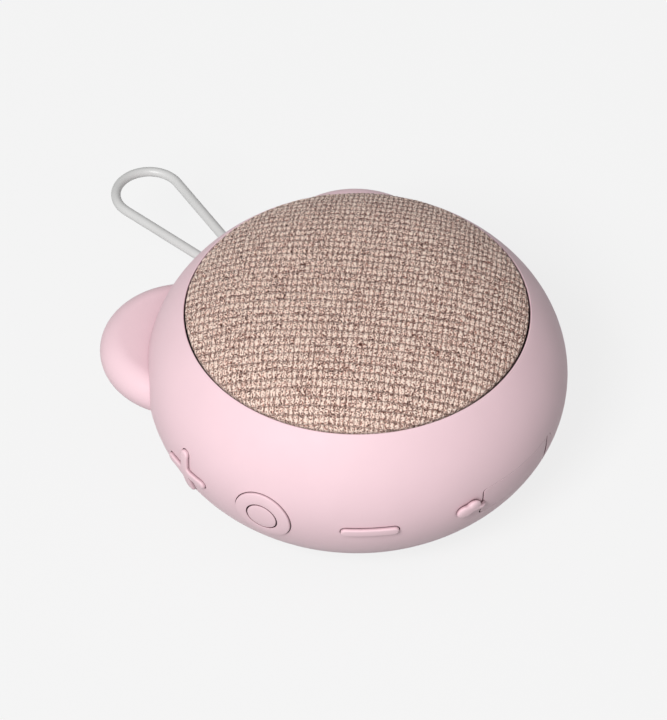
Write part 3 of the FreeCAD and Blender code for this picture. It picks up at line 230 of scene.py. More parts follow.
class Outline:
    """A rounded outline with level and upright sides, seen from outside the ball."""

    STEP = 0.45

    def __init__(self, theta, height, corners, edge=EDGE, gap=GAP):
        """Corners are (across, up, bend), anticlockwise; an inner corner's bend is negative."""
        self.theta, self.height, self.edge, self.gap = theta, height, edge, gap
        places, ways, normals = [], [], []
        count = len(corners)
        for index, (x, z, _) in enumerate(corners):
            after = corners[(index + 1) % count]
            way = np.array([after[0] - x, after[1] - z])
            way = way / np.linalg.norm(way)
            normals.append(np.array([way[1], -way[0]]))
        for index, (x, z, bend) in enumerate(corners):
            first, second = normals[index - 1], normals[index]
            centre = np.array([x, z]) - bend * (first + second)
            start = math.atan2(first[1], first[0])
            turn = math.atan2(second[1], second[0]) - start
            turn = (turn + math.pi) % (2 * math.pi) - math.pi
            steps = max(4, math.ceil(abs(turn * bend) / self.STEP))
            for step in range(steps + 1):
                angle = start + turn * step / steps
                way = np.array([math.cos(angle), math.sin(angle)])
                places.append(centre + bend * way)
                ways.append(way)
            after = corners[(index + 1) % count]
            last = places[-1]
            goal = np.array(after[:2]) - after[2] * (second + normals[(index + 1) % count])
            goal = goal + after[2] * second
            spans = math.ceil(np.linalg.norm(goal - last) / self.STEP)
            for span in range(1, spans):
                places.append(last + (goal - last) * span / spans)
                ways.append(second)
        keep = [i for i in range(len(places))
                if np.linalg.norm(places[i] - places[i - 1]) > 1e-4]
        self.places = np.array(places)[keep]
        self.ways = np.array(ways)[keep]

    def ring(self, growth):
        """The outline moved outwards, as (across, up) points."""
        return self.places + growth * self.ways

    def lift(self, flat, depth=0.0):
        """Points over the ball's face, seen along the outline's own direction."""
        x, z = flat[:, 0], flat[:, 1] + self.height
        y = np.sqrt(ball_radius(z, depth) ** 2 - x * x)
        return facing(self.theta, x, y, z)

    def unrolled(self, flat):
        """The same points as distances round and up the ball."""
        x, z = flat[:, 0], flat[:, 1] + self.height
        angle = self.theta - np.degrees(np.arcsin(x / ball_radius(z)))
        return np.stack([angle * ROUND, z], axis=1)

    def fill(self, shell, ring, flat, depth):
        """Closes a ring with a patch that follows the ball at a depth."""
        spacing, low, high = 1.3, flat.min(axis=0), flat.max(axis=0)
        across = np.arange(low[0] + spacing, high[0], spacing)
        upward = np.arange(low[1] + spacing, high[1], spacing)
        grid = np.array([(x, z) for x in across for z in upward]).reshape(-1, 2)
        if len(grid):
            gaps = np.linalg.norm(grid[:, None] - flat[None], axis=2).min(axis=1)
            grid = grid[within(grid, flat) & (gaps > spacing * 0.45)]
        points = np.concatenate([flat, grid])
        ids = np.concatenate([ring, shell.add(self.lift(grid, depth))]) if len(grid) else ring
        triangles = triangulate(points, round_edges(np.arange(len(flat))))
        middle = points[triangles].mean(axis=1)
        shell.faces += ids[triangles[within(middle, flat)]].tolist()


ROUND = math.radians(1) * BALL_RADIUS


def plate(half_x, half_z, bend):
    return [(half_x, -half_z, bend), (half_x, half_z, bend),
            (-half_x, half_z, bend), (-half_x, -half_z, bend)]


def cross(half, thick, inner):
    """A plus sign with round arm ends."""
    side = thick / 2
    arm = [(half, -side, side), (half, side, side), (side, side, -inner)]
    corners = []
    for quarter in range(4):
        cos, sin = round(math.cos(quarter * math.pi / 2)), round(math.sin(quarter * math.pi / 2))
        corners += [(x * cos - z * sin, x * sin + z * cos, bend) for x, z, bend in arm]
    return corners


def press_angle(joint):
    """The angle a button faces: it is pressed along its joint's axis, towards the middle."""
    axis = joints[joint]["axis"]
    return math.degrees(math.atan2(axis[0], -axis[1])) % 360


button_low, button_high = box_mm("button_play")
BUTTON_HEIGHT = (button_low.z + button_high.z) / 2
plus_line = Outline(press_angle("plus_press"), BUTTON_HEIGHT, cross(BAR_HALF, BAR_WIDTH, 0.62))
play_line = Outline(press_angle("play_press"), BUTTON_HEIGHT,
                    plate(PLAY_RADIUS, PLAY_RADIUS, PLAY_RADIUS))
minus_line = Outline(press_angle("minus_press"), BUTTON_HEIGHT,
                     plate(BAR_HALF, BAR_WIDTH / 2, BAR_WIDTH / 2))

port = mounts["charging_port"]
PORT_ANGLE = math.degrees(math.atan2(-port["axis"][0], port["axis"][1])) % 360
PORT_HEIGHT = port["pos_m"][2] / MM
anchor_low, anchor_high = box_mm("flap_anchor")
FLAP_HALF = 10.25
FLAP_SIDE = (anchor_high.z - anchor_low.z) / 2
FLAP_CORNER = 1.6
FREE_CORNER = 0.8
FREE_GAP = 0.28
FLAP_DEPTH = 1.6
HINGE_REACH = 42.66
HINGE_LEAN = math.tan(math.radians(8.8))
HINGE_ROUND = 0.8
ANCHOR_NEAR = FLAP_HALF + HINGE_ROUND + 0.1
ANCHOR_FAR = 13.05
ANCHOR_DEPTH = 2.1
flap_line = Outline(PORT_ANGLE, PORT_HEIGHT, [
    (FLAP_HALF - FREE_GAP, -FLAP_SIDE, FREE_CORNER),
    (FLAP_HALF - FREE_GAP, FLAP_SIDE, FREE_CORNER),
    (-FLAP_HALF - HINGE_ROUND, FLAP_SIDE, 0.3), (-FLAP_HALF - HINGE_ROUND, -FLAP_SIDE, 0.3)])
anchor_line = Outline(PORT_ANGLE, PORT_HEIGHT, [
    (-ANCHOR_NEAR, -FLAP_SIDE, 0.25), (-ANCHOR_NEAR, FLAP_SIDE, 0.25),
    (-ANCHOR_FAR, FLAP_SIDE, FLAP_CORNER), (-ANCHOR_FAR, -FLAP_SIDE, FLAP_CORNER)])
cover_line = Outline(PORT_ANGLE, PORT_HEIGHT, [
    (FLAP_HALF, -FLAP_SIDE, FREE_CORNER), (FLAP_HALF, FLAP_SIDE, FREE_CORNER),
    (-ANCHOR_FAR, FLAP_SIDE, FLAP_CORNER), (-ANCHOR_FAR, -FLAP_SIDE, FLAP_CORNER)],
    FLAP_EDGE, FLAP_GAP)

swing = joints["loop_swing"]["pos_m"]
LOOP_HEIGHT = swing[2] / MM
LOOP_PIVOT = swing[1] / MM
LOOP_SPREAD = 3.5
LOOP_SECTION = 1.05
LOOP_HOLE = 1.12
LOOP_ROOT = 43.4
leg_lines = [
    Outline(0.0, LOOP_HEIGHT, [(x + side * LOOP_SPREAD, z, bend)
                               for x, z, bend in plate(LOOP_HOLE, LOOP_HOLE, LOOP_HOLE)])
    for side in (1, -1)]


# ---- materials -----------------------------------------------------------------------

def srgb(red, green, blue):
    """A colour from its 0-255 screen values, as the linear values that nodes take."""
    shares = [value / 255 for value in (red, green, blue)]
    linear = [s / 12.92 if s <= 0.04045 else ((s + 0.055) / 1.055) ** 2.4 for s in shares]
    return (*linear, 1.0)


class Finish:
    """One material's nodes, with textures in millimetres of the object's own space."""

    def __init__(self, name, rough, metallic=0.0, **fixed):
        self.material = bpy.data.materials.new(name)
        self.material.use_nodes = True
        self.nodes = self.material.node_tree.nodes
        self.links = self.material.node_tree.links
        self.shader = self.nodes["Principled BSDF"]
        self.shader.inputs["Roughness"].default_value = rough
        self.shader.inputs["Metallic"].default_value = metallic
        for socket, value in fixed.items():
            self.shader.inputs[socket.replace("_", " ")].default_value = value
        self.place = self.add("ShaderNodeTexCoord").outputs["Object"]

    def add(self, kind, settings=(), **values):
        node = self.nodes.new(kind)
        for name, value in settings:
            setattr(node, name, value)
        for socket, value in values.items():
            self.feed(node.inputs[socket.replace("_", " ")], value)
        return node

    def feed(self, socket, value):
        if isinstance(value, bpy.types.NodeSocket):
            self.links.new(value, socket)
        else:
            socket.default_value = value

    def space(self, stretch=(1, 1, 1), source=None):
        """The object's place in millimetres, each axis multiplied."""
        scale = tuple(value / MM for value in stretch) if source is None else stretch
        node = self.add("ShaderNodeMapping", Vector=source or self.place, Scale=scale)
        return node.outputs["Vector"]

    def noise(self, size, detail=2.0, stretch=(1, 1, 1), source=None, rough=0.5):
        """Noise whose blots are about this many millimetres across."""
        node = self.add("ShaderNodeTexNoise", Vector=self.space(stretch, source),
                        Scale=1 / size, Detail=detail, Roughness=rough)
        return node.outputs["Fac"]

    def waves(self, pitch, stretch=(1, 0, 0), kind="BANDS", wobble=0.0):
        node = self.add("ShaderNodeTexWave", [("wave_type", kind), ("wave_profile", "SIN")],
                        Vector=self.space(stretch), Scale=math.pi / 10 / pitch,
                        Distortion=wobble, Detail=2.0)
        return node.outputs["Fac"]

    def cells(self, size):
        node = self.add("ShaderNodeTexVoronoi", Vector=self.space(), Scale=1 / size)
        return node.outputs["Distance"]

    def math(self, kind, first, second=0.0, third=0.0):
        node = self.add("ShaderNodeMath", [("operation", kind)])
        for socket, value in zip(node.inputs, (first, second, third)):
            self.feed(socket, value)
        return node.outputs["Value"]

    def ramp(self, fac, *stops):
        """Colour or grey by a factor; stops are (place, colour)."""
        node = self.add("ShaderNodeValToRGB", Fac=fac)
        places = node.color_ramp.elements
        while len(places) < len(stops):
            places.new(0.5)
        for element, (place, value) in zip(places, stops):
            element.position = place
            element.color = value if hasattr(value, "__len__") else (value, value, value, 1)
        return node.outputs["Color"]

    def mix(self, fac, first, second, blend="MIX"):
        node = self.add("ShaderNodeMix", [("data_type", "RGBA"), ("blend_type", blend)])
        for socket, value in ((0, fac), (6, first), (7, second)):
            self.feed(node.inputs[socket], value)
        return node.outputs[2]

    def bump(self, height, depth):
        """Adds relief of this many millimetres."""
        node = self.add("ShaderNodeBump", Height=height, Distance=depth * MM)
        socket = self.shader.inputs["Normal"]
        if socket.is_linked:
            self.feed(node.inputs["Normal"], socket.links[0].from_socket)
        self.feed(socket, node.outputs["Normal"])

    def openness(self, distance):
        """1 on open surface, less where walls within this many millimetres shade it."""
        node = self.add("ShaderNodeAmbientOcclusion", [("samples", 8)], Distance=distance * MM)
        return node.outputs["AO"]

    def colour(self, value):
        self.feed(self.shader.inputs["Base Color"], value)

    def roughness(self, value):
        self.feed(self.shader.inputs["Roughness"], value)


def shift(colour, share):
    """A colour made lighter or darker by a share."""
    return (*[min(1.0, value * (1 + share)) for value in colour[:3]], 1.0)


def moulded(name, colour, rough, grain=0.25, depth=0.004, tone=0.03, **fixed):
    """Moulded plastic or rubber: fine grain, faint clouds of tone and of gloss."""
    finish = Finish(name, rough, **fixed)
    clouds = finish.noise(9.0, 3.0)
    finish.colour(finish.ramp(clouds, (0.3, shift(colour, -tone)), (0.7, shift(colour, tone))))
    smears = finish.noise(4.0, 4.0)
    finish.roughness(finish.ramp(smears, (0.3, rough - 0.05), (0.7, rough + 0.05)))
    finish.bump(finish.noise(grain, 2.0), depth)
    return finish


def worn_metal(name, colour, rough, stretch=(1, 1, 1), **fixed):
    """Metal with fine drawn lines and faint stains."""
    finish = Finish(name, rough, metallic=1.0, **fixed)
    stains = finish.noise(3.0, 4.0)
    finish.colour(finish.ramp(stains, (0.3, shift(colour, -0.12)), (0.7, colour)))
    lines = finish.noise(0.12, 3.0, stretch)
    finish.roughness(finish.ramp(lines, (0.3, rough - 0.08), (0.7, rough + 0.12)))
    finish.bump(lines, 0.004)
    return finish


PINK = srgb(252, 218, 226)
WHITE = srgb(255, 255, 255)


def soft_touch(name="soft_touch_skin"):
    """Pink silicone with painted shade: darker in slits and slightly darker in wide creases."""
    finish = moulded(name, PINK, 0.56, grain=0.3, depth=0.0025, tone=0.012,
                     Specular_IOR_Level=0.32, Sheen_Weight=0.08, Sheen_Roughness=0.45)
    plain = finish.shader.inputs["Base Color"].links[0].from_socket
    # painted shade: slits within about a millimetre turn dark
    dark = finish.ramp(finish.openness(1.1), (0.1, srgb(96, 76, 82)),
                       (0.42, srgb(196, 170, 177)), (0.62, WHITE))
    # painted shade: wide creases, such as where the ears meet the body, turn slightly darker
    soft = finish.ramp(finish.openness(12.0), (0.3, srgb(202, 194, 197)), (0.93, WHITE))
    shade = finish.mix(1.0, dark, soft, "MULTIPLY")
    # the painted shade multiplies the silicone's own colour
    finish.colour(finish.mix(1.0, plain, shade, "MULTIPLY"))
    return finish.material


def woven():
    """Peach yarn with painted light: painted shade in brown where the yarns dive, a lighter painted highlight on
    their tops.
    """
    finish = Finish("woven_yarn", 0.85, Sheen_Weight=0.18, Sheen_Roughness=0.5,
                    Specular_IOR_Level=0.25)
    strand, lift, tone = [
        finish.add("ShaderNodeAttribute", [("attribute_name", name)]).outputs[output]
        for name, output in (("strand", "Vector"), ("lift", "Fac"), ("tone", "Fac"))]
    fibres = finish.noise(0.24, 1.0, (0.35, 1.0, 1.0), strand)
    flecks = finish.noise(0.32, 1.0, (1, 1, 1), strand)
    clouds = finish.noise(7.0, 2.0)
    # the yarn's height sets painted shade in the dives and a painted highlight on the tops; fibres, flecks, tone
    # and clouds are the yarn's own mottling
    shade_and_tone = finish.math("MULTIPLY_ADD", lift, 1.55, -3.4)
    for part, weight in ((fibres, 1.6), (flecks, 3.5), (tone, 0.10), (clouds, 0.16)):
        shade_and_tone = finish.math("MULTIPLY_ADD", part, weight, shade_and_tone)
    # the low stops are painted shade, the high stops painted highlight
    colour = finish.ramp(shade_and_tone, (0.25, srgb(68, 42, 36)), (0.37, srgb(130, 84, 72)),
                         (0.46, srgb(192, 134, 118)), (0.54, srgb(229, 170, 152)),
                         (0.63, srgb(255, 206, 188)), (0.74, srgb(255, 234, 220)))
    finish.colour(colour)
    finish.bump(fibres, 0.08)
    finish.bump(flecks, 0.12)
    return finish.material


# ---- the soft sleeve -----------------------------------------------------------------

COLUMNS = 240
SEAM = -30.0
BAND_LOW, BAND_HIGH, BAND_ROWS = 11.0, 31.5, 15
LEAD = 0.35


def opening_rings(line, shell, outer):
    """Rounds an opening's edge and drops its wall to the sleeve's inner face."""
    rings = [outer]
    turns = np.radians([0, 22, 45, 68, 90])
    edge = line.edge
    steps = [(edge + 0.1, 0.0)]
    steps += [(edge * (1 - math.sin(turn)), edge * (1 - math.cos(turn))) for turn in turns]
    steps += [(0.0, 0.7), (0.0, 1.4), (0.0, SKIN), (LEAD, SKIN)]
    for growth, depth in steps:
        rings.append(shell.add(line.lift(line.ring(growth + line.gap), depth)))
    shell.stack(rings)
    return rings[-1]


def rim_profile():
    """(radius, height) points over the rounded rim, from the ball's face to the seat wall."""
    seat = RIM_RADIUS + RIM_ROUND
    radius = seat
    for _ in range(30):
        z = ball_height(radius)
        normal = np.array([radius / BALL_RADIUS ** 2, (z - EQUATOR) / BALL_RISE ** 2])
        normal /= np.linalg.norm(normal)
        radius = seat + RIM_ROUND * normal[0]
    centre = np.array([seat, z - RIM_ROUND * normal[1]])
    start = math.atan2(normal[1], normal[0])
    angles = np.linspace(start, math.pi, 9)
    return [centre + RIM_ROUND * np.array([math.cos(a), math.sin(a)]) for a in angles]


def make_sleeve():
    shell = Shell()
    theta = SEAM + np.arange(COLUMNS) * 360 / COLUMNS
    lines = [plus_line, play_line, minus_line, cover_line, *leg_lines]

    def circle(radius, z):
        return shell.add(around(theta, radius, z))

    # the side band with its openings, on the outer and the inner face
    heights = np.linspace(BAND_LOW, BAND_HIGH, BAND_ROWS)
    wide = SEAM + np.arange(COLUMNS + 1) * 360 / COLUMNS
    grid = np.array([(a * ROUND, z) for z in heights for a in wide])
    border = np.zeros((BAND_ROWS, COLUMNS + 1), bool)
    border[[0, -1], :] = True
    border[:, [0, -1]] = True
    keep = np.ones(len(grid), bool)
    loops = []
    for line in lines:
        loop = line.unrolled(line.ring(line.gap + line.edge + LEAD))
        loop[:, 0] = (loop[:, 0] - SEAM * ROUND) % (360 * ROUND) + SEAM * ROUND
        gaps = np.linalg.norm(grid[:, None] - loop[None], axis=2).min(axis=1)
        keep &= (gaps > 0.55) & ~within(grid, loop)
        loops.append(loop)
    keep |= border.ravel()
    flat = np.concatenate([grid[keep], *loops])
    place = np.full(len(grid), -1)
    place[keep] = np.arange(keep.sum())
    table = place.reshape(BAND_ROWS, COLUMNS + 1)
    hoops, start = [], keep.sum()
    for loop in loops:
        hoops.append(np.arange(start, start + len(loop)))
        start += len(loop)
    frame_loop = np.concatenate([table[0], table[1:, -1], table[-1, -2::-1], table[-2:0:-1, 0]])
    triangles = triangulate(flat, sum(map(round_edges, [frame_loop, *hoops]), []))
    middle = flat[triangles].mean(axis=1)
    for loop in loops:
        inside = within(middle, loop)
        triangles, middle = triangles[~inside], middle[~inside]
    faces = {}
    for depth in (0.0, SKIN):
        ids = shell.add(around(flat[:, 0] / ROUND, ball_radius(flat[:, 1], depth), flat[:, 1]))
        seam = table[:, -1]
        ids[seam] = ids[table[:, 0]]
        for line, hoop in zip(lines, hoops):
            shell.points[-1][hoop] = line.lift(line.ring(line.gap + line.edge + LEAD), depth)
        shell.faces += ids[triangles].tolist()
        faces[depth] = ids
    for line, hoop in zip(lines, hoops):
        last = opening_rings(line, shell, faces[0.0][hoop])
        shell.bridge(last, faces[SKIN][hoop])

    # the foot lip, the ball above and below the band, and the rim
    corner = ball_radius(sleeve_low.z)
    bend = 1.2
    ease = curve((corner - bend, sleeve_low.z), (corner, sleeve_low.z),
                 (ball_radius(sleeve_low.z + bend), sleeve_low.z + bend), 8)
    lip = [(BASE_OPENING, LIP_TOP - 0.2), (BASE_OPENING, sleeve_low.z + 0.3),
           (BASE_OPENING + 0.09, sleeve_low.z + 0.09), (BASE_OPENING + 0.3, sleeve_low.z)]
    below = [(ball_radius(z), z) for z in np.linspace(sleeve_low.z + bend, BAND_LOW, 10)[1:-1]]
    outer = [circle(r, z) for r, z in [*lip, *ease, *below]]
    shell.stack([*outer, faces[0.0][table[0, :-1]]])
    rim = rim_profile()
    shoulder = np.linspace(BAND_HIGH, rim[0][1], 14)[1:-1]
    above = list(zip(ball_radius(shoulder), shoulder))
    seat_low = ball_height(RIM_RADIUS, SKIN)
    wall = [(RIM_RADIUS, z) for z in np.linspace(rim[-1][1], seat_low, 4)[1:]]
    inner = [(ball_radius(z, SKIN), z) for z in np.linspace(seat_low, BAND_HIGH, 7)[1:-1]]
    top = [circle(r, z) for r, z in [*above, *rim, *wall, *inner]]
    shell.stack([faces[0.0][table[-1, :-1]], *top, faces[SKIN][table[-1, :-1]]])
    inside = [(ball_radius(z, SKIN), z) for z in np.linspace(BAND_LOW, LIP_TOP, 7)[1:]]
    floor = [circle(r, z) for r, z in [*inside, (BASE_OPENING + 0.2, LIP_TOP)]]
    shell.stack([faces[SKIN][table[0, :-1]], *floor, outer[0]])
    show("sleeve_skin", shell.mesh("sleeve_skin"), soft_touch(), "case", ["soft_sleeve"])


# ---- buttons, flap and pull tab ------------------------------------------------------

def edge_arc(radius, top):
    """(growth, depth) points over a rounded top edge."""
    return [(-radius * (1 - math.cos(turn)), top + radius * (1 - math.sin(turn)))
            for turn in np.linspace(0, math.pi / 2, 6)]


def make_cap(name, line, steps, finish, body, replaced, bend=None):
    """A closed piece whose rings are (growth, depth) steps, from its back to its face."""
    shell = Shell()
    rings = [shell.add(line.lift(line.ring(growth), depth)) for growth, depth in steps]
    shell.stack(rings)
    for end in (0, -1):
        line.fill(shell, rings[end], line.ring(steps[end][0]), steps[end][1])
    if bend:
        shell.points = [bend(points) for points in shell.points]
    show(name, shell.mesh(name), finish, body, replaced)


def make_buttons():
    skin = soft_touch("soft_touch_button")
    back = [(FLANGE_GROWTH, CAP_DEPTH), (FLANGE_GROWTH, FLANGE_DEPTH), (0.0, FLANGE_DEPTH)]
    bar = [*back, (0.0, 0.6), *edge_arc(0.45, -BUTTON_PROUD)]
    for word, line in (("plus", plus_line), ("minus", minus_line)):
        make_cap(f"{word}_cap", line, bar, skin, word, [f"button_{word}"])
    disc = [*back, (0.0, 0.6), *edge_arc(0.22, -PLAY_PROUD), (-1.2, -PLAY_PROUD)]
    wall = [(0.24, 0.0), (0.19, 0.015), (0.16, 0.06), (0.15, 0.4), (0.13, 1.0)]
    for side, sink in wall + [(-side, sink) for side, sink in wall[::-1]]:
        disc.append((PLAY_GROOVE - PLAY_RADIUS + side, sink - PLAY_PROUD))
    disc += [(growth, -PLAY_PROUD) for growth in (-4.2, -5.4, -6.2)]
    make_cap("play_cap", play_line, disc, skin, "play", ["button_play"])


def roll_hinge(points):
    """Rounds the flap's hinge end about the hinge line."""
    angle = math.radians(PORT_ANGLE)
    x = points[:, 0] * math.cos(angle) + points[:, 1] * math.sin(angle)
    y = -points[:, 0] * math.sin(angle) + points[:, 1] * math.cos(angle)
    reach = HINGE_REACH + (points[:, 2] - PORT_HEIGHT) * HINGE_LEAN
    round_it = HINGE_ROUND + 0.03
    past = np.minimum(x + FLAP_HALF, 0.0)
    half = np.sqrt(np.maximum(round_it ** 2 - past ** 2, 0.01))
    y = np.where(past < 0, np.clip(y, reach - half, reach + half), y)
    return facing(PORT_ANGLE, x, y, points[:, 2])


def make_flap():
    skin = soft_touch("soft_touch_flap")
    steps = [(-0.25, FLAP_DEPTH), (0.0, FLAP_DEPTH - 0.25), (0.0, 0.7), *edge_arc(FLAP_EDGE, 0.0),
             (-0.3, 0.0)]
    make_cap("flap_cover", flap_line, steps, skin, "flap", ["port_flap"], roll_hinge)
    steps = [(0.0, ANCHOR_DEPTH), (0.0, 0.7), *edge_arc(FLAP_EDGE, 0.0), (-0.3, 0.0)]
    make_cap("flap_anchor_strip", anchor_line, steps, skin, "case", ["flap_anchor"])

    shell = Shell()
    plug = Outline(PORT_ANGLE, PORT_HEIGHT, plate(4.3, 1.45, 1.4))
    rings = []
    steps = [(0.5, 43.6), (0.3, 43.2), (0.0, 43.0), (0.0, 41.9), (-0.12, 41.62), (-0.4, 41.5)]
    for growth, reach in steps:
        flat = plug.ring(growth)
        rings.append(shell.add(facing(PORT_ANGLE, flat[:, 0], reach, flat[:, 1] + PORT_HEIGHT)))
    shell.stack(rings, *[facing(PORT_ANGLE, 0.0, steps[end][1], PORT_HEIGHT) for end in (0, -1)])
    show("flap_plug", shell.mesh("flap_plug"), skin, "flap")


TAB_NEAR, TAB_FAR, TAB_LOBE, TAB_FAR_GROWTH = (12.9, 1.0), (14.95, 0.35), 1.6, 0.06
TAB_LIFT, TAB_PROUD, TAB_ROUND_START = 0.04, 1.3, 0.62
NECK_START, NECK_HEIGHT, NECK_RADIUS, NECK_SINK = 10.0, 0.1, 0.6, 0.4


def blob_distance(x, z):
    """Signed distance to the bean's outline: two lobes and a neck, melted together."""
    near = np.hypot(x - TAB_NEAR[0], z - TAB_NEAR[1]) - TAB_LOBE
    far = np.hypot(x - TAB_FAR[0], z - TAB_FAR[1]) - TAB_LOBE \
        - TAB_FAR_GROWTH
    length = TAB_NEAR[0] - NECK_START
    along = np.clip((x - NECK_START) / length, 0, 1)
    neck = np.hypot(x - NECK_START - along * length, z - NECK_HEIGHT) - NECK_RADIUS
    melted = near
    for other, melt in ((far, 0.6), (neck, 0.4)):
        share = np.clip(0.5 + 0.5 * (other - melted) / melt, 0, 1)
        melted = other * (1 - share) + melted * share - melt * share * (1 - share)
    return melted


def make_tab():
    """The bean clears the sleeve. Its neck sinks into the flap's face."""
    shell = Shell()
    middle_x, middle_z, count = (TAB_NEAR[0] + TAB_FAR[0]) / 2 - 0.2, 0.75, 96
    angles = np.arange(count) * 2 * math.pi / count
    ways = np.stack([np.cos(angles), np.sin(angles)], axis=1)
    low, high = np.zeros(count), np.full(count, 7.0)
    for _ in range(40):
        reach = (low + high) / 2
        out = blob_distance(middle_x + reach * ways[:, 0], middle_z + reach * ways[:, 1]) > 0
        high, low = np.where(out, reach, high), np.where(out, low, reach)
    over = np.radians(np.linspace(0, 84, 14))
    steps = [(0.4, TAB_LIFT), (0.8, TAB_LIFT), (0.93, TAB_LIFT + 0.03), (0.97, TAB_LIFT + 0.12)]
    rise = TAB_PROUD - TAB_ROUND_START
    steps += [(math.cos(a) ** 0.7, TAB_ROUND_START + rise * math.sin(a)) for a in over]
    rings = []
    for share, height in steps:
        flat = np.array([middle_x, middle_z]) + share * low[:, None] * ways
        x, z = flat[:, 0], flat[:, 1] + PORT_HEIGHT
        thick = 0.3 + 0.7 * eased(np.clip((x - FLAP_HALF + 0.9) / 1.5, 0, 1))
        lifted = TAB_LIFT + (height - TAB_LIFT) * thick
        lifted -= NECK_SINK * np.clip((FLAP_HALF - 0.15 - x) / 0.6, 0, 1)
        y = np.sqrt(ball_radius(z, -lifted) ** 2 - x * x)
        rings.append(shell.add(facing(PORT_ANGLE, x, y, z)))
    z = PORT_HEIGHT + middle_z
    shell.stack(rings, *[
        facing(PORT_ANGLE, middle_x, np.sqrt(ball_radius(z, -height) ** 2 - middle_x ** 2), z)
        for height in (TAB_LIFT, TAB_PROUD)])
    show("flap_pull_tab", shell.mesh("flap_pull_tab"), soft_touch("soft_touch_tab"), "flap")


# ---- ears and loop -------------------------------------------------------------------

EAR_RADIUS = 18.3
EAR_OVERLAP = 0.9


def ball_mesh(depth):
    """A closed ball, a depth inside the sleeve's face."""
    shell = Shell()
    theta = np.arange(160) * 360 / 160
    slopes = np.radians(np.linspace(-84, 84, 49))
    rings = [shell.add(around(theta, (BALL_RADIUS - depth) * math.cos(a),
                              EQUATOR + (BALL_RISE - depth) * math.sin(a))) for a in slopes]
    shell.stack(rings, (0, 0, EQUATOR - BALL_RISE + depth), (0, 0, EQUATOR + BALL_RISE - depth))
    return shell.mesh("ball")


def make_ears():
    half = (ear_high.z - ear_low.z) / 2
    height = (ear_high.z + ear_low.z) / 2
    skin = soft_touch("soft_touch_ear")
    cutter = bpy.data.objects.new("ball", ball_mesh(EAR_OVERLAP))
    link(cutter)
    for side, node in ((1, "ear_left"), (-1, "ear_right")):
        low, high = box_mm(node)
        outer = low.x if side > 0 else high.x
        centre = np.array([outer + side * EAR_RADIUS, high.y - EAR_RADIUS, height])
        shell = Shell()
        theta = np.arange(160) * 360 / 160
        flat = EAR_RADIUS - half
        shares = np.linspace(0.06, 0.96, 16)
        profile = [(flat * s, -half) for s in shares]
        profile += [(flat + half * math.cos(a), half * math.sin(a))
                    for a in np.radians(np.linspace(-90, 90, 33))]
        profile += [(flat * s, half) for s in shares[::-1]]
        rings = [shell.add(around(theta, r, z) + centre) for r, z in profile]
        shell.stack(rings, centre - (0, 0, half), centre + (0, 0, half))
        piece = bpy.data.objects.new(f"{node}_blank", shell.mesh(node))
        link(piece)
        cut = piece.modifiers.new("cut", "BOOLEAN")
        cut.operation, cut.solver, cut.object = "DIFFERENCE", "EXACT", cutter
        bpy.context.view_layer.update()
        graph = bpy.context.evaluated_depsgraph_get()
        made = bpy.data.meshes.new_from_object(piece.evaluated_get(graph))
        bpy.data.objects.remove(piece)
        made.set_sharp_from_angle(angle=0.7)  # the cut edge would smear the shading
        show(f"{node}_shell", made, skin, "case", [node])
    bpy.data.objects.remove(cutter)


def make_loop():
    """One smooth band: two pegs in the body, two leaning legs and a round end."""
    bend = loop_high.x - LOOP_SECTION
    end = loop_high.y - LOOP_SECTION - bend
    reach = end - LOOP_PIVOT
    lean = math.asin(bend / math.hypot(reach, LOOP_SPREAD)) - math.atan2(LOOP_SPREAD, reach)
    touch = np.array([bend * math.cos(lean), end - bend * math.sin(lean)])
    foot, root = np.array([LOOP_SPREAD, LOOP_PIVOT]), np.array([LOOP_SPREAD, LOOP_ROOT])
    knee_in, knee_out = foot - (0, 1.2), foot + (touch - foot) * 1.2 / np.linalg.norm(touch - foot)
    half = [root + (knee_in - root) * t for t in np.linspace(0, 1, 4, endpoint=False)]
    half += curve(knee_in, foot, knee_out, 9)
    half += [knee_out + (touch - knee_out) * t for t in np.linspace(0, 1, 28)[1:-1]]
    turns = np.linspace(-lean, math.pi / 2, 22)
    half += [np.array([bend * math.cos(a), end + bend * math.sin(a)]) for a in turns]
    path = np.array(half + [point * (-1, 1) for point in half[-2::-1]])
    along = np.gradient(path, axis=0)
    along /= np.linalg.norm(along, axis=1)[:, None]
    shell = Shell()
    angles = np.arange(24) * 2 * math.pi / 24
    rings = []
    for point, way in zip(path, along):
        side = np.array([way[1], -way[0], 0.0])
        centre = np.array([*point, LOOP_HEIGHT])
        ring = centre + LOOP_SECTION * (np.cos(angles)[:, None] * side
                                        + np.sin(angles)[:, None] * np.array([0, 0, 1.0]))
        rings.append(shell.add(ring))
    shell.stack(rings, (*path[0], LOOP_HEIGHT), (*path[-1], LOOP_HEIGHT))
    finish = moulded("loop_silicone", srgb(216, 216, 215), 0.36, grain=0.3, depth=0.003,
                     Specular_IOR_Level=0.45)
    piece = show("loop_band", shell.mesh("loop_band"), finish.material, None,
                 ["hanging_loop"])
    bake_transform(piece)


# ---- the woven grille cloth ----------------------------------------------------------

CLOTH_TOP = cloth_high.z
CLOTH_RADIUS = cloth_high.x + 0.14
CLOTH_RAISE = 0.25
CLOTH_HEM = cloth_low.z
CROWN_ARC, CROWN_KNEE, SHOULDER_ARC = 130.0, 18.0, 48.7
HEM_BEND = 0.6
WARP_PITCH, WEFT_PITCH = 1.1, 2.1
WARP_STEPS, WEFT_STEPS = 6, 7
WEAVE_TURN = math.radians(-45)
CLOTH_DEPTH = 0.5
CLOTH_SINK = 0.25
WEAVE_FLOOR, WEAVE_SPAN = -0.42, 0.75


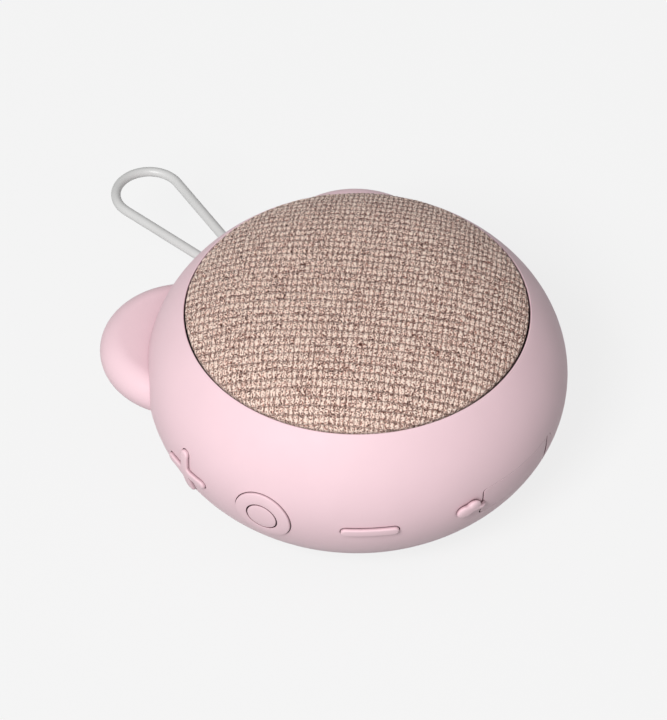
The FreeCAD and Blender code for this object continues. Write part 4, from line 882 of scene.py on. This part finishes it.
def dome_profile():
    """(distance from the crown, radius, height) down the cloth, to the end of its hem."""
    knee = math.asin(CROWN_KNEE / CROWN_ARC)
    arm = CROWN_ARC - SHOULDER_ARC
    centre = np.array([arm * math.sin(knee), CLOTH_TOP - CROWN_ARC + arm * math.cos(knee)])
    edge = math.asin((CLOTH_RADIUS - HEM_BEND - centre[0]) / SHOULDER_ARC)
    points = [(CROWN_ARC * math.sin(a), CLOTH_TOP - CROWN_ARC + CROWN_ARC * math.cos(a))
              for a in np.linspace(0, knee, 40)]
    points += [centre + SHOULDER_ARC * np.array([math.sin(a), math.cos(a)])
               for a in np.linspace(knee, edge, 60)[1:]]
    start = np.array(points[-1])
    way = np.array([math.cos(edge), -math.sin(edge)])
    corner = start + way * HEM_BEND / way[0]
    down = corner + np.array([0, -HEM_BEND])
    points += curve(start, corner, down, 12)[1:]
    points += [(CLOTH_RADIUS, z) for z in np.linspace(down[1], CLOTH_HEM, 6)[1:]]
    points = np.array(points)
    share = np.clip((points[:, 0] - CROWN_KNEE) / (CLOTH_RADIUS - HEM_BEND - CROWN_KNEE), 0, 1)
    points[:, 1] += CLOTH_RAISE * eased(share)
    steps = np.linalg.norm(np.diff(points, axis=0), axis=1)
    return np.concatenate([[0], np.cumsum(steps)]), points[:, 0], points[:, 1]


def lattice_noise(x, y, size, seed):
    """Smooth noise from -1 to 1 on a seeded lattice."""
    table = np.random.default_rng(seed).uniform(-1, 1, (256, 256))
    x, y = x / size, y / size
    column, row = np.floor(x).astype(int), np.floor(y).astype(int)
    u, v = x - column, y - row
    u, v = eased(u), eased(v)
    near, far = [table[r % 256, column % 256] * (1 - u) + table[r % 256, (column + 1) % 256] * u
                 for r in (row, row + 1)]
    return near * (1 - v) + far * v


def weave(across, along):
    """Height, strand place and tone of a plain weave; warps run along, wefts across."""
    wobble = 0.13
    across = across + wobble * lattice_noise(across, along, 2.6, 11)
    along = along + 1.3 * wobble * lattice_noise(across, along, 2.2, 12)
    best = np.full(across.shape, WEAVE_FLOOR)
    strand = np.zeros((*across.shape, 3))
    tones = np.random.default_rng(5).uniform(0, 1, (256, 256))
    tone = np.full(across.shape, 0.3)
    dive = 0.16
    for offset in (0, 1):
        for is_warp in (True, False):
            this, that, pitch, other = (
                (across, along, WARP_PITCH, WEFT_PITCH) if is_warp
                else (along, across, WEFT_PITCH, WARP_PITCH))
            index = np.floor(this / pitch).astype(int) + offset
            plump = 1 + 0.10 * lattice_noise(index * 1.7, that, 1.9, 21 + is_warp)
            side = (this - index * pitch) / (pitch * (0.55 if is_warp else 0.52) * plump)
            body = np.sqrt(np.maximum(0, 1 - side * side))
            phase = np.cos(math.pi * (that / other - index))
            centre = dive * (phase if is_warp else -phase)
            height = centre + (0.24 if is_warp else 0.22) * body - 0.06
            height = np.where(np.abs(side) < 1, height, WEAVE_FLOOR)
            over = height > best
            best = np.where(over, height, best)
            cell = np.round(that / other).astype(int)
            place = np.stack([that, this - index * pitch, index * 3.1 + is_warp * 57.0], axis=-1)
            strand = np.where(over[..., None], place, strand)
            tone = np.where(over, tones[index % 256, (cell + 40 * is_warp) % 256], tone)
    return best, strand, tone


def cloth_points(flat, profile, lift):
    """Flat cloth points laid over the dome and raised along its normal."""
    distance, radius, height = profile
    far = np.maximum(np.hypot(flat[:, 0], flat[:, 1]), 1e-9)
    r, z = np.interp(far, distance, radius), np.interp(far, distance, height)
    step = 0.05
    slope_r = np.interp(far + step, distance, radius) - np.interp(far - step, distance, radius)
    slope_z = np.interp(far + step, distance, height) - np.interp(far - step, distance, height)
    length = np.hypot(slope_r, slope_z)
    r, z = r - lift * slope_z / length, z + lift * slope_r / length
    ways = flat / far[:, None]
    return np.stack([r * ways[:, 0], r * ways[:, 1], z], axis=1)


def make_cloth():
    profile = dome_profile()
    reach = profile[0][-1]
    step_p, step_q = WARP_PITCH / WARP_STEPS, WEFT_PITCH / WEFT_STEPS
    count_p, count_q = math.ceil(reach / step_p), math.ceil(reach / step_q)
    p, q = np.meshgrid(np.arange(-count_p, count_p + 1) * step_p,
                       np.arange(-count_q, count_q + 1) * step_q)
    near = np.hypot(p, q) < reach - 0.12
    cell = near[:-1, :-1] & near[1:, :-1] & near[:-1, 1:] & near[1:, 1:]
    used = np.zeros(near.shape, bool)
    first, last = slice(None, -1), slice(1, None)
    for corner in ((first, first), (last, first), (first, last), (last, last)):
        used[corner] |= cell
    ids = np.full(near.shape, -1)
    ids[used] = np.arange(used.sum())
    hem_count = 600
    angles = np.arange(hem_count) * 2 * math.pi / hem_count
    hem = reach * np.stack([np.cos(angles), np.sin(angles)], axis=1)
    plan = np.concatenate([np.stack([p[used], q[used]], axis=1), hem])
    row, column = np.nonzero(cell)
    quads = np.stack([ids[row, column], ids[row, column + 1],
                      ids[row + 1, column + 1], ids[row + 1, column]], axis=1)

    # the strip between the stepped edge of the weave grid and the round hem
    sides = np.concatenate([quads[:, [i, (i + 1) % 4]] for i in range(4)])
    keys, uses = np.unique(np.sort(sides, axis=1), axis=0, return_counts=True)
    steps = keys[uses == 1]
    edge = np.unique(steps)
    hem_ids = np.arange(used.sum(), used.sum() + hem_count)
    local = np.concatenate([edge, hem_ids])
    back = {int(index): i for i, index in enumerate(local)}
    edges = [(back[int(a)], back[int(b)]) for a, b in [*steps, *round_edges(hem_ids)]]
    strip = local[triangulate(plan[local], edges)]
    middle = plan[strip].mean(axis=1)
    at_p = np.floor(middle[:, 0] / step_p).astype(int) + count_p
    at_q = np.floor(middle[:, 1] / step_q).astype(int) + count_q
    at_p, at_q = np.clip(at_p, 0, cell.shape[1] - 1), np.clip(at_q, 0, cell.shape[0] - 1)
    strip = strip[~cell[at_q, at_p]]

    height, strand, tone = weave(plan[:, 0], plan[:, 1])
    cos, sin = math.cos(WEAVE_TURN), math.sin(WEAVE_TURN)
    turned = np.stack([plan[:, 0] * cos - plan[:, 1] * sin,
                       plan[:, 0] * sin + plan[:, 1] * cos], axis=1)
    shell = Shell()
    far = np.hypot(plan[:, 0], plan[:, 1])
    relief = np.clip((reach - far) / 1.5, 0, 1)
    lift = np.where(np.isclose(far, reach), 0.0, height * relief) - CLOTH_SINK
    top = shell.add(cloth_points(turned, profile, lift))
    shell.faces += top[quads].tolist() + top[strip].tolist()
    rings = [top[hem_ids]]
    spin = np.stack([np.cos(angles + WEAVE_TURN), np.sin(angles + WEAVE_TURN)], axis=1)
    for share in (1.0, 0.975, 0.95, 0.92, 0.88, 0.8, 0.66, 0.5, 0.3, 0.1):
        rings.append(shell.add(cloth_points(spin * reach * share, profile, -CLOTH_DEPTH)))
    shell.stack(rings)
    shell.fan(rings[-1], (0, 0, CLOTH_TOP - CLOTH_DEPTH))
    made = shell.mesh("grille_cloth")
    spare = len(made.vertices) - len(plan)
    # lift is the yarn's height, which the cloth's material turns into painted shade and painted highlight; tone is
    # the yarn's own random tone
    for name, kind, values in (
            ("lift", "FLOAT",
             np.concatenate([(height - WEAVE_FLOOR) / WEAVE_SPAN, np.zeros(spare)])),
            ("tone", "FLOAT", np.concatenate([tone, np.full(spare, 0.3)])),
            ("strand", "FLOAT_VECTOR", np.concatenate([strand, np.zeros((spare, 3))]))):
        layer = made.attributes.new(name, kind, "POINT")
        field = "vector" if kind == "FLOAT_VECTOR" else "value"
        layer.data.foreach_set(field, values.astype(np.float32).ravel())
    piece = show("grille_cloth", made, woven(), "case", ["grille_fabric"])


# ---- the foot ------------------------------------------------------------------------

def make_foot():
    """A ribbed rubber disc with a soft edge."""
    shell = Shell()
    radius, top = foot_high.x, foot_high.z
    theta = np.arange(180) * 2.0
    profile = [(radius * s, top) for s in (0.2, 0.6, 1.0)]
    profile += [(radius, 0.45), (radius - 0.06, 0.2), (radius - 0.2, 0.06), (radius - 0.45, 0.0)]
    for groove in (19.4, 17.5, 15.6, 13.7):
        profile += [(groove + 0.5, 0.0), (groove + 0.38, 0.06), (groove + 0.3, 0.3),
                    (groove - 0.3, 0.3), (groove - 0.38, 0.06), (groove - 0.5, 0.0)]
    profile += [(radius * s, 0.0) for s in (0.5, 0.35, 0.15)]
    rings = [shell.add(around(theta, r, z)) for r, z in profile]
    shell.stack(rings, (0, 0, top), (0, 0, 0))
    finish = moulded("foot_rubber", srgb(150, 148, 149), 0.78, grain=0.4, depth=0.02, tone=0.05,
                     Specular_IOR_Level=0.3)
    show("foot_pad", shell.mesh("foot_pad"), finish.material, "case", ["base_foot"])


# ---- finishes of the CAD parts inside ------------------------------------------------

def two_tone(finish, pattern, low, dark, high, light, depth):
    """Two tones and a relief that follow one pattern."""
    finish.colour(finish.ramp(pattern, (low, srgb(*dark)), (high, srgb(*light))))
    finish.bump(pattern, depth)
    return finish


def cone_paper():
    finish = Finish("pressed_paper", 0.8, Specular_IOR_Level=0.2)
    fibres = finish.noise(0.5, 6.0, rough=0.7)
    two_tone(finish, fibres, 0.3, (28, 27, 27), 0.7, (58, 56, 54), 0.05)
    finish.bump(finish.waves(1.4, (1, 1, 0), "RINGS"), 0.04)
    return finish


def wound_copper():
    finish = Finish("enamelled_wire", 0.3, metallic=0.9, Coat_Weight=0.4)
    turns = finish.waves(0.2, (0, 0, 1))
    return two_tone(finish, turns, 0.1, (120, 58, 26), 0.7, (214, 128, 72), 0.05)


def corrugated_cloth():
    finish = Finish("spider_weave", 0.9, Specular_IOR_Level=0.2)
    threads = finish.math("MULTIPLY", finish.waves(0.5, (1, 0, 0)), finish.waves(0.5, (0, 1, 0)))
    two_tone(finish, threads, 0.0, (130, 92, 40), 0.8, (206, 166, 96), 0.06)
    finish.bump(finish.waves(1.1, (1, 1, 0), "RINGS"), 0.2)
    return finish


def circuit_board():
    """Green solder mask over copper tracks."""
    finish = Finish("solder_mask", 0.35, Coat_Weight=0.25)
    tracks = finish.add("ShaderNodeTexBrick", [("offset", 0.37), ("squash", 1.6)],
                        Vector=finish.space(), Scale=0.35, Mortar_Size=0.03,
                        Mortar_Smooth=0.1).outputs["Fac"]
    pads = finish.math("LESS_THAN", finish.cells(1.9), 0.16)
    mask = finish.mix(tracks, srgb(18, 74, 46), srgb(34, 108, 66))
    finish.colour(finish.mix(pads, mask, srgb(204, 176, 96)))
    finish.roughness(finish.ramp(finish.noise(2.0), (0.3, 0.28), (0.7, 0.42)))
    finish.bump(tracks, 0.03)
    return finish


def flex_film():
    finish = Finish("polyimide_film", 0.3, Coat_Weight=0.3)
    lines = finish.waves(0.8, (0, 0, 1), wobble=0.6)
    return two_tone(finish, lines, 0.35, (176, 96, 20), 0.65, (214, 146, 60), 0.02)


def ferrite():
    finish = Finish("sintered_ferrite", 0.6, metallic=0.3)
    grains = finish.noise(0.6, 6.0, rough=0.7)
    return two_tone(finish, grains, 0.3, (34, 34, 37), 0.7, (66, 66, 70), 0.05)


def cell_wrap():
    finish = Finish("shrink_wrap", 0.35, Specular_IOR_Level=0.5)
    folds = finish.noise(6.0, 4.0, (1, 0.4, 1))
    return two_tone(finish, folds, 0.3, (150, 158, 166), 0.7, (190, 196, 204), 0.25)


def paint_cad():
    """Each CAD node that stays in view gets its slot's finish."""
    finishes = {
        "screw_steel": worn_metal("plated_screw", srgb(176, 178, 182), 0.32),
        "port_steel": worn_metal("drawn_steel", srgb(196, 198, 202), 0.26, (0.1, 1, 1)),
        "frame_metal": worn_metal("stamped_frame", srgb(60, 62, 66), 0.42),
        "motor_metal": worn_metal("zinc_plate", srgb(150, 152, 158), 0.36),
        "magnet_ferrite": ferrite(), "cone_paper": cone_paper(), "coil_copper": wound_copper(),
        "spider_cloth": corrugated_cloth(), "circuit_board": circuit_board(),
        "flex_film": flex_film(), "cell_wrap": cell_wrap(),
        "chip_black": moulded("chip_mould", srgb(30, 30, 32), 0.55, grain=0.1, depth=0.006),
        "can_aluminium": worn_metal("capacitor_can", srgb(200, 202, 206), 0.3, (1, 1, 0.1)),
    }
    for slot, name, colour, rough, depth in (
            ("pink_plastic", "housing_plastic", (236, 205, 213), 0.48, 0.01),
            ("soft_touch_pink", "inner_rubber", (240, 208, 216), 0.62, 0.006),
            ("grey_loop", "loop_root_silicone", (206, 205, 204), 0.5, 0.005),
            ("grey_foot", "foot_base_rubber", (150, 148, 149), 0.75, 0.01),
            ("dark_plastic", "dark_plastic_grain", (42, 42, 45), 0.5, 0.012),
            ("black_rubber", "black_rubber_grain", (26, 26, 27), 0.72, 0.01),
            ("woven_cloth", "backing", (190, 160, 148), 0.8, 0.02)):
        finishes[slot] = moulded(name, srgb(*colour), rough, depth=depth)
    slots = {part["node"]: part["material_slot"] for part in frame["record"]["subparts"]}
    for name, node in frame["nodes"].items():
        finish = finishes[slots[name]]
        node.data.materials.clear()
        node.data.materials.append(finish.material)


# ---- stage, lights and camera --------------------------------------------------------

def make_stage():
    side = 3.0
    made = bpy.data.meshes.new("floor")
    made.from_pydata([(-side, -side, 0), (side, -side, 0), (side, side, 0), (-side, side, 0)],
                     [], [(0, 1, 2, 3)])
    floor = bpy.data.objects.new("floor", made)
    link(floor)
    finish = Finish("pale_floor", 0.9, Specular_IOR_Level=0.0)
    finish.colour(srgb(96, 96, 96))
    finish.shader.inputs["Emission Color"].default_value = (1, 1, 1, 1)
    finish.shader.inputs["Emission Strength"].default_value = 0.81
    made.materials.append(finish.material)
    floor.visible_diffuse = False
    world = bpy.data.worlds.new("studio")
    world.use_nodes = True
    sky = world.node_tree.nodes["Background"]
    sky.inputs["Color"].default_value = (1.0, 1.0, 1.0, 1)
    sky.inputs["Strength"].default_value = 0.27
    bpy.context.scene.world = world
    bpy.context.scene.view_settings.view_transform = "Standard"


def make_light(name, azimuth, elevation, distance, size, power, target):
    """A square softbox; azimuth and elevation are counted as the camera's are."""
    lamp = bpy.data.lights.new(name, "AREA")
    lamp.size, lamp.energy = size, power
    light = bpy.data.objects.new(name, lamp)
    look_at(light, target, view_direction(azimuth, elevation), distance)


def view_direction(azimuth, elevation):
    a, e = math.radians(azimuth), math.radians(elevation)
    return Vector((math.sin(a) * math.cos(e), -math.cos(a) * math.cos(e), math.sin(e)))


def look_at(piece, target, back, distance):
    """Puts a light or a camera in the scene, this far back from what it faces."""
    piece.location = target + back * distance
    piece.rotation_mode = "QUATERNION"
    piece.rotation_quaternion = (-back).to_track_quat("-Z", "Y")
    link(piece)


def make_camera():
    """A long lens, aimed a little beside the body so that body and loop sit as in the photo."""
    azimuth, elevation, lens, distance = -39.5, 44.15, 400.0, 1.7086
    back = view_direction(azimuth, elevation)
    right = Vector((0, 0, 1)).cross(back).normalized()
    up = back.cross(right)
    aim = Vector((0, 0, EQUATOR * MM)) - right * 5.0 * MM + up * 2.5 * MM
    data = bpy.data.cameras.new("camera")
    data.lens, data.sensor_width, data.sensor_fit = lens, 36.0, "AUTO"
    data.clip_start, data.clip_end = 0.05, 20.0
    camera = bpy.data.objects.new("camera", data)
    look_at(camera, aim, back, distance)
    bpy.context.scene.camera = camera


make_camera()
make_stage()
middle = Vector((0, 0, EQUATOR * MM))
make_light("key", -65.5, 44.0, 3.0, 1.1, 73.0, middle)
paint_cad()
make_sleeve()
make_buttons()
make_flap()
make_tab()
make_ears()
make_loop()
make_cloth()
make_foot()
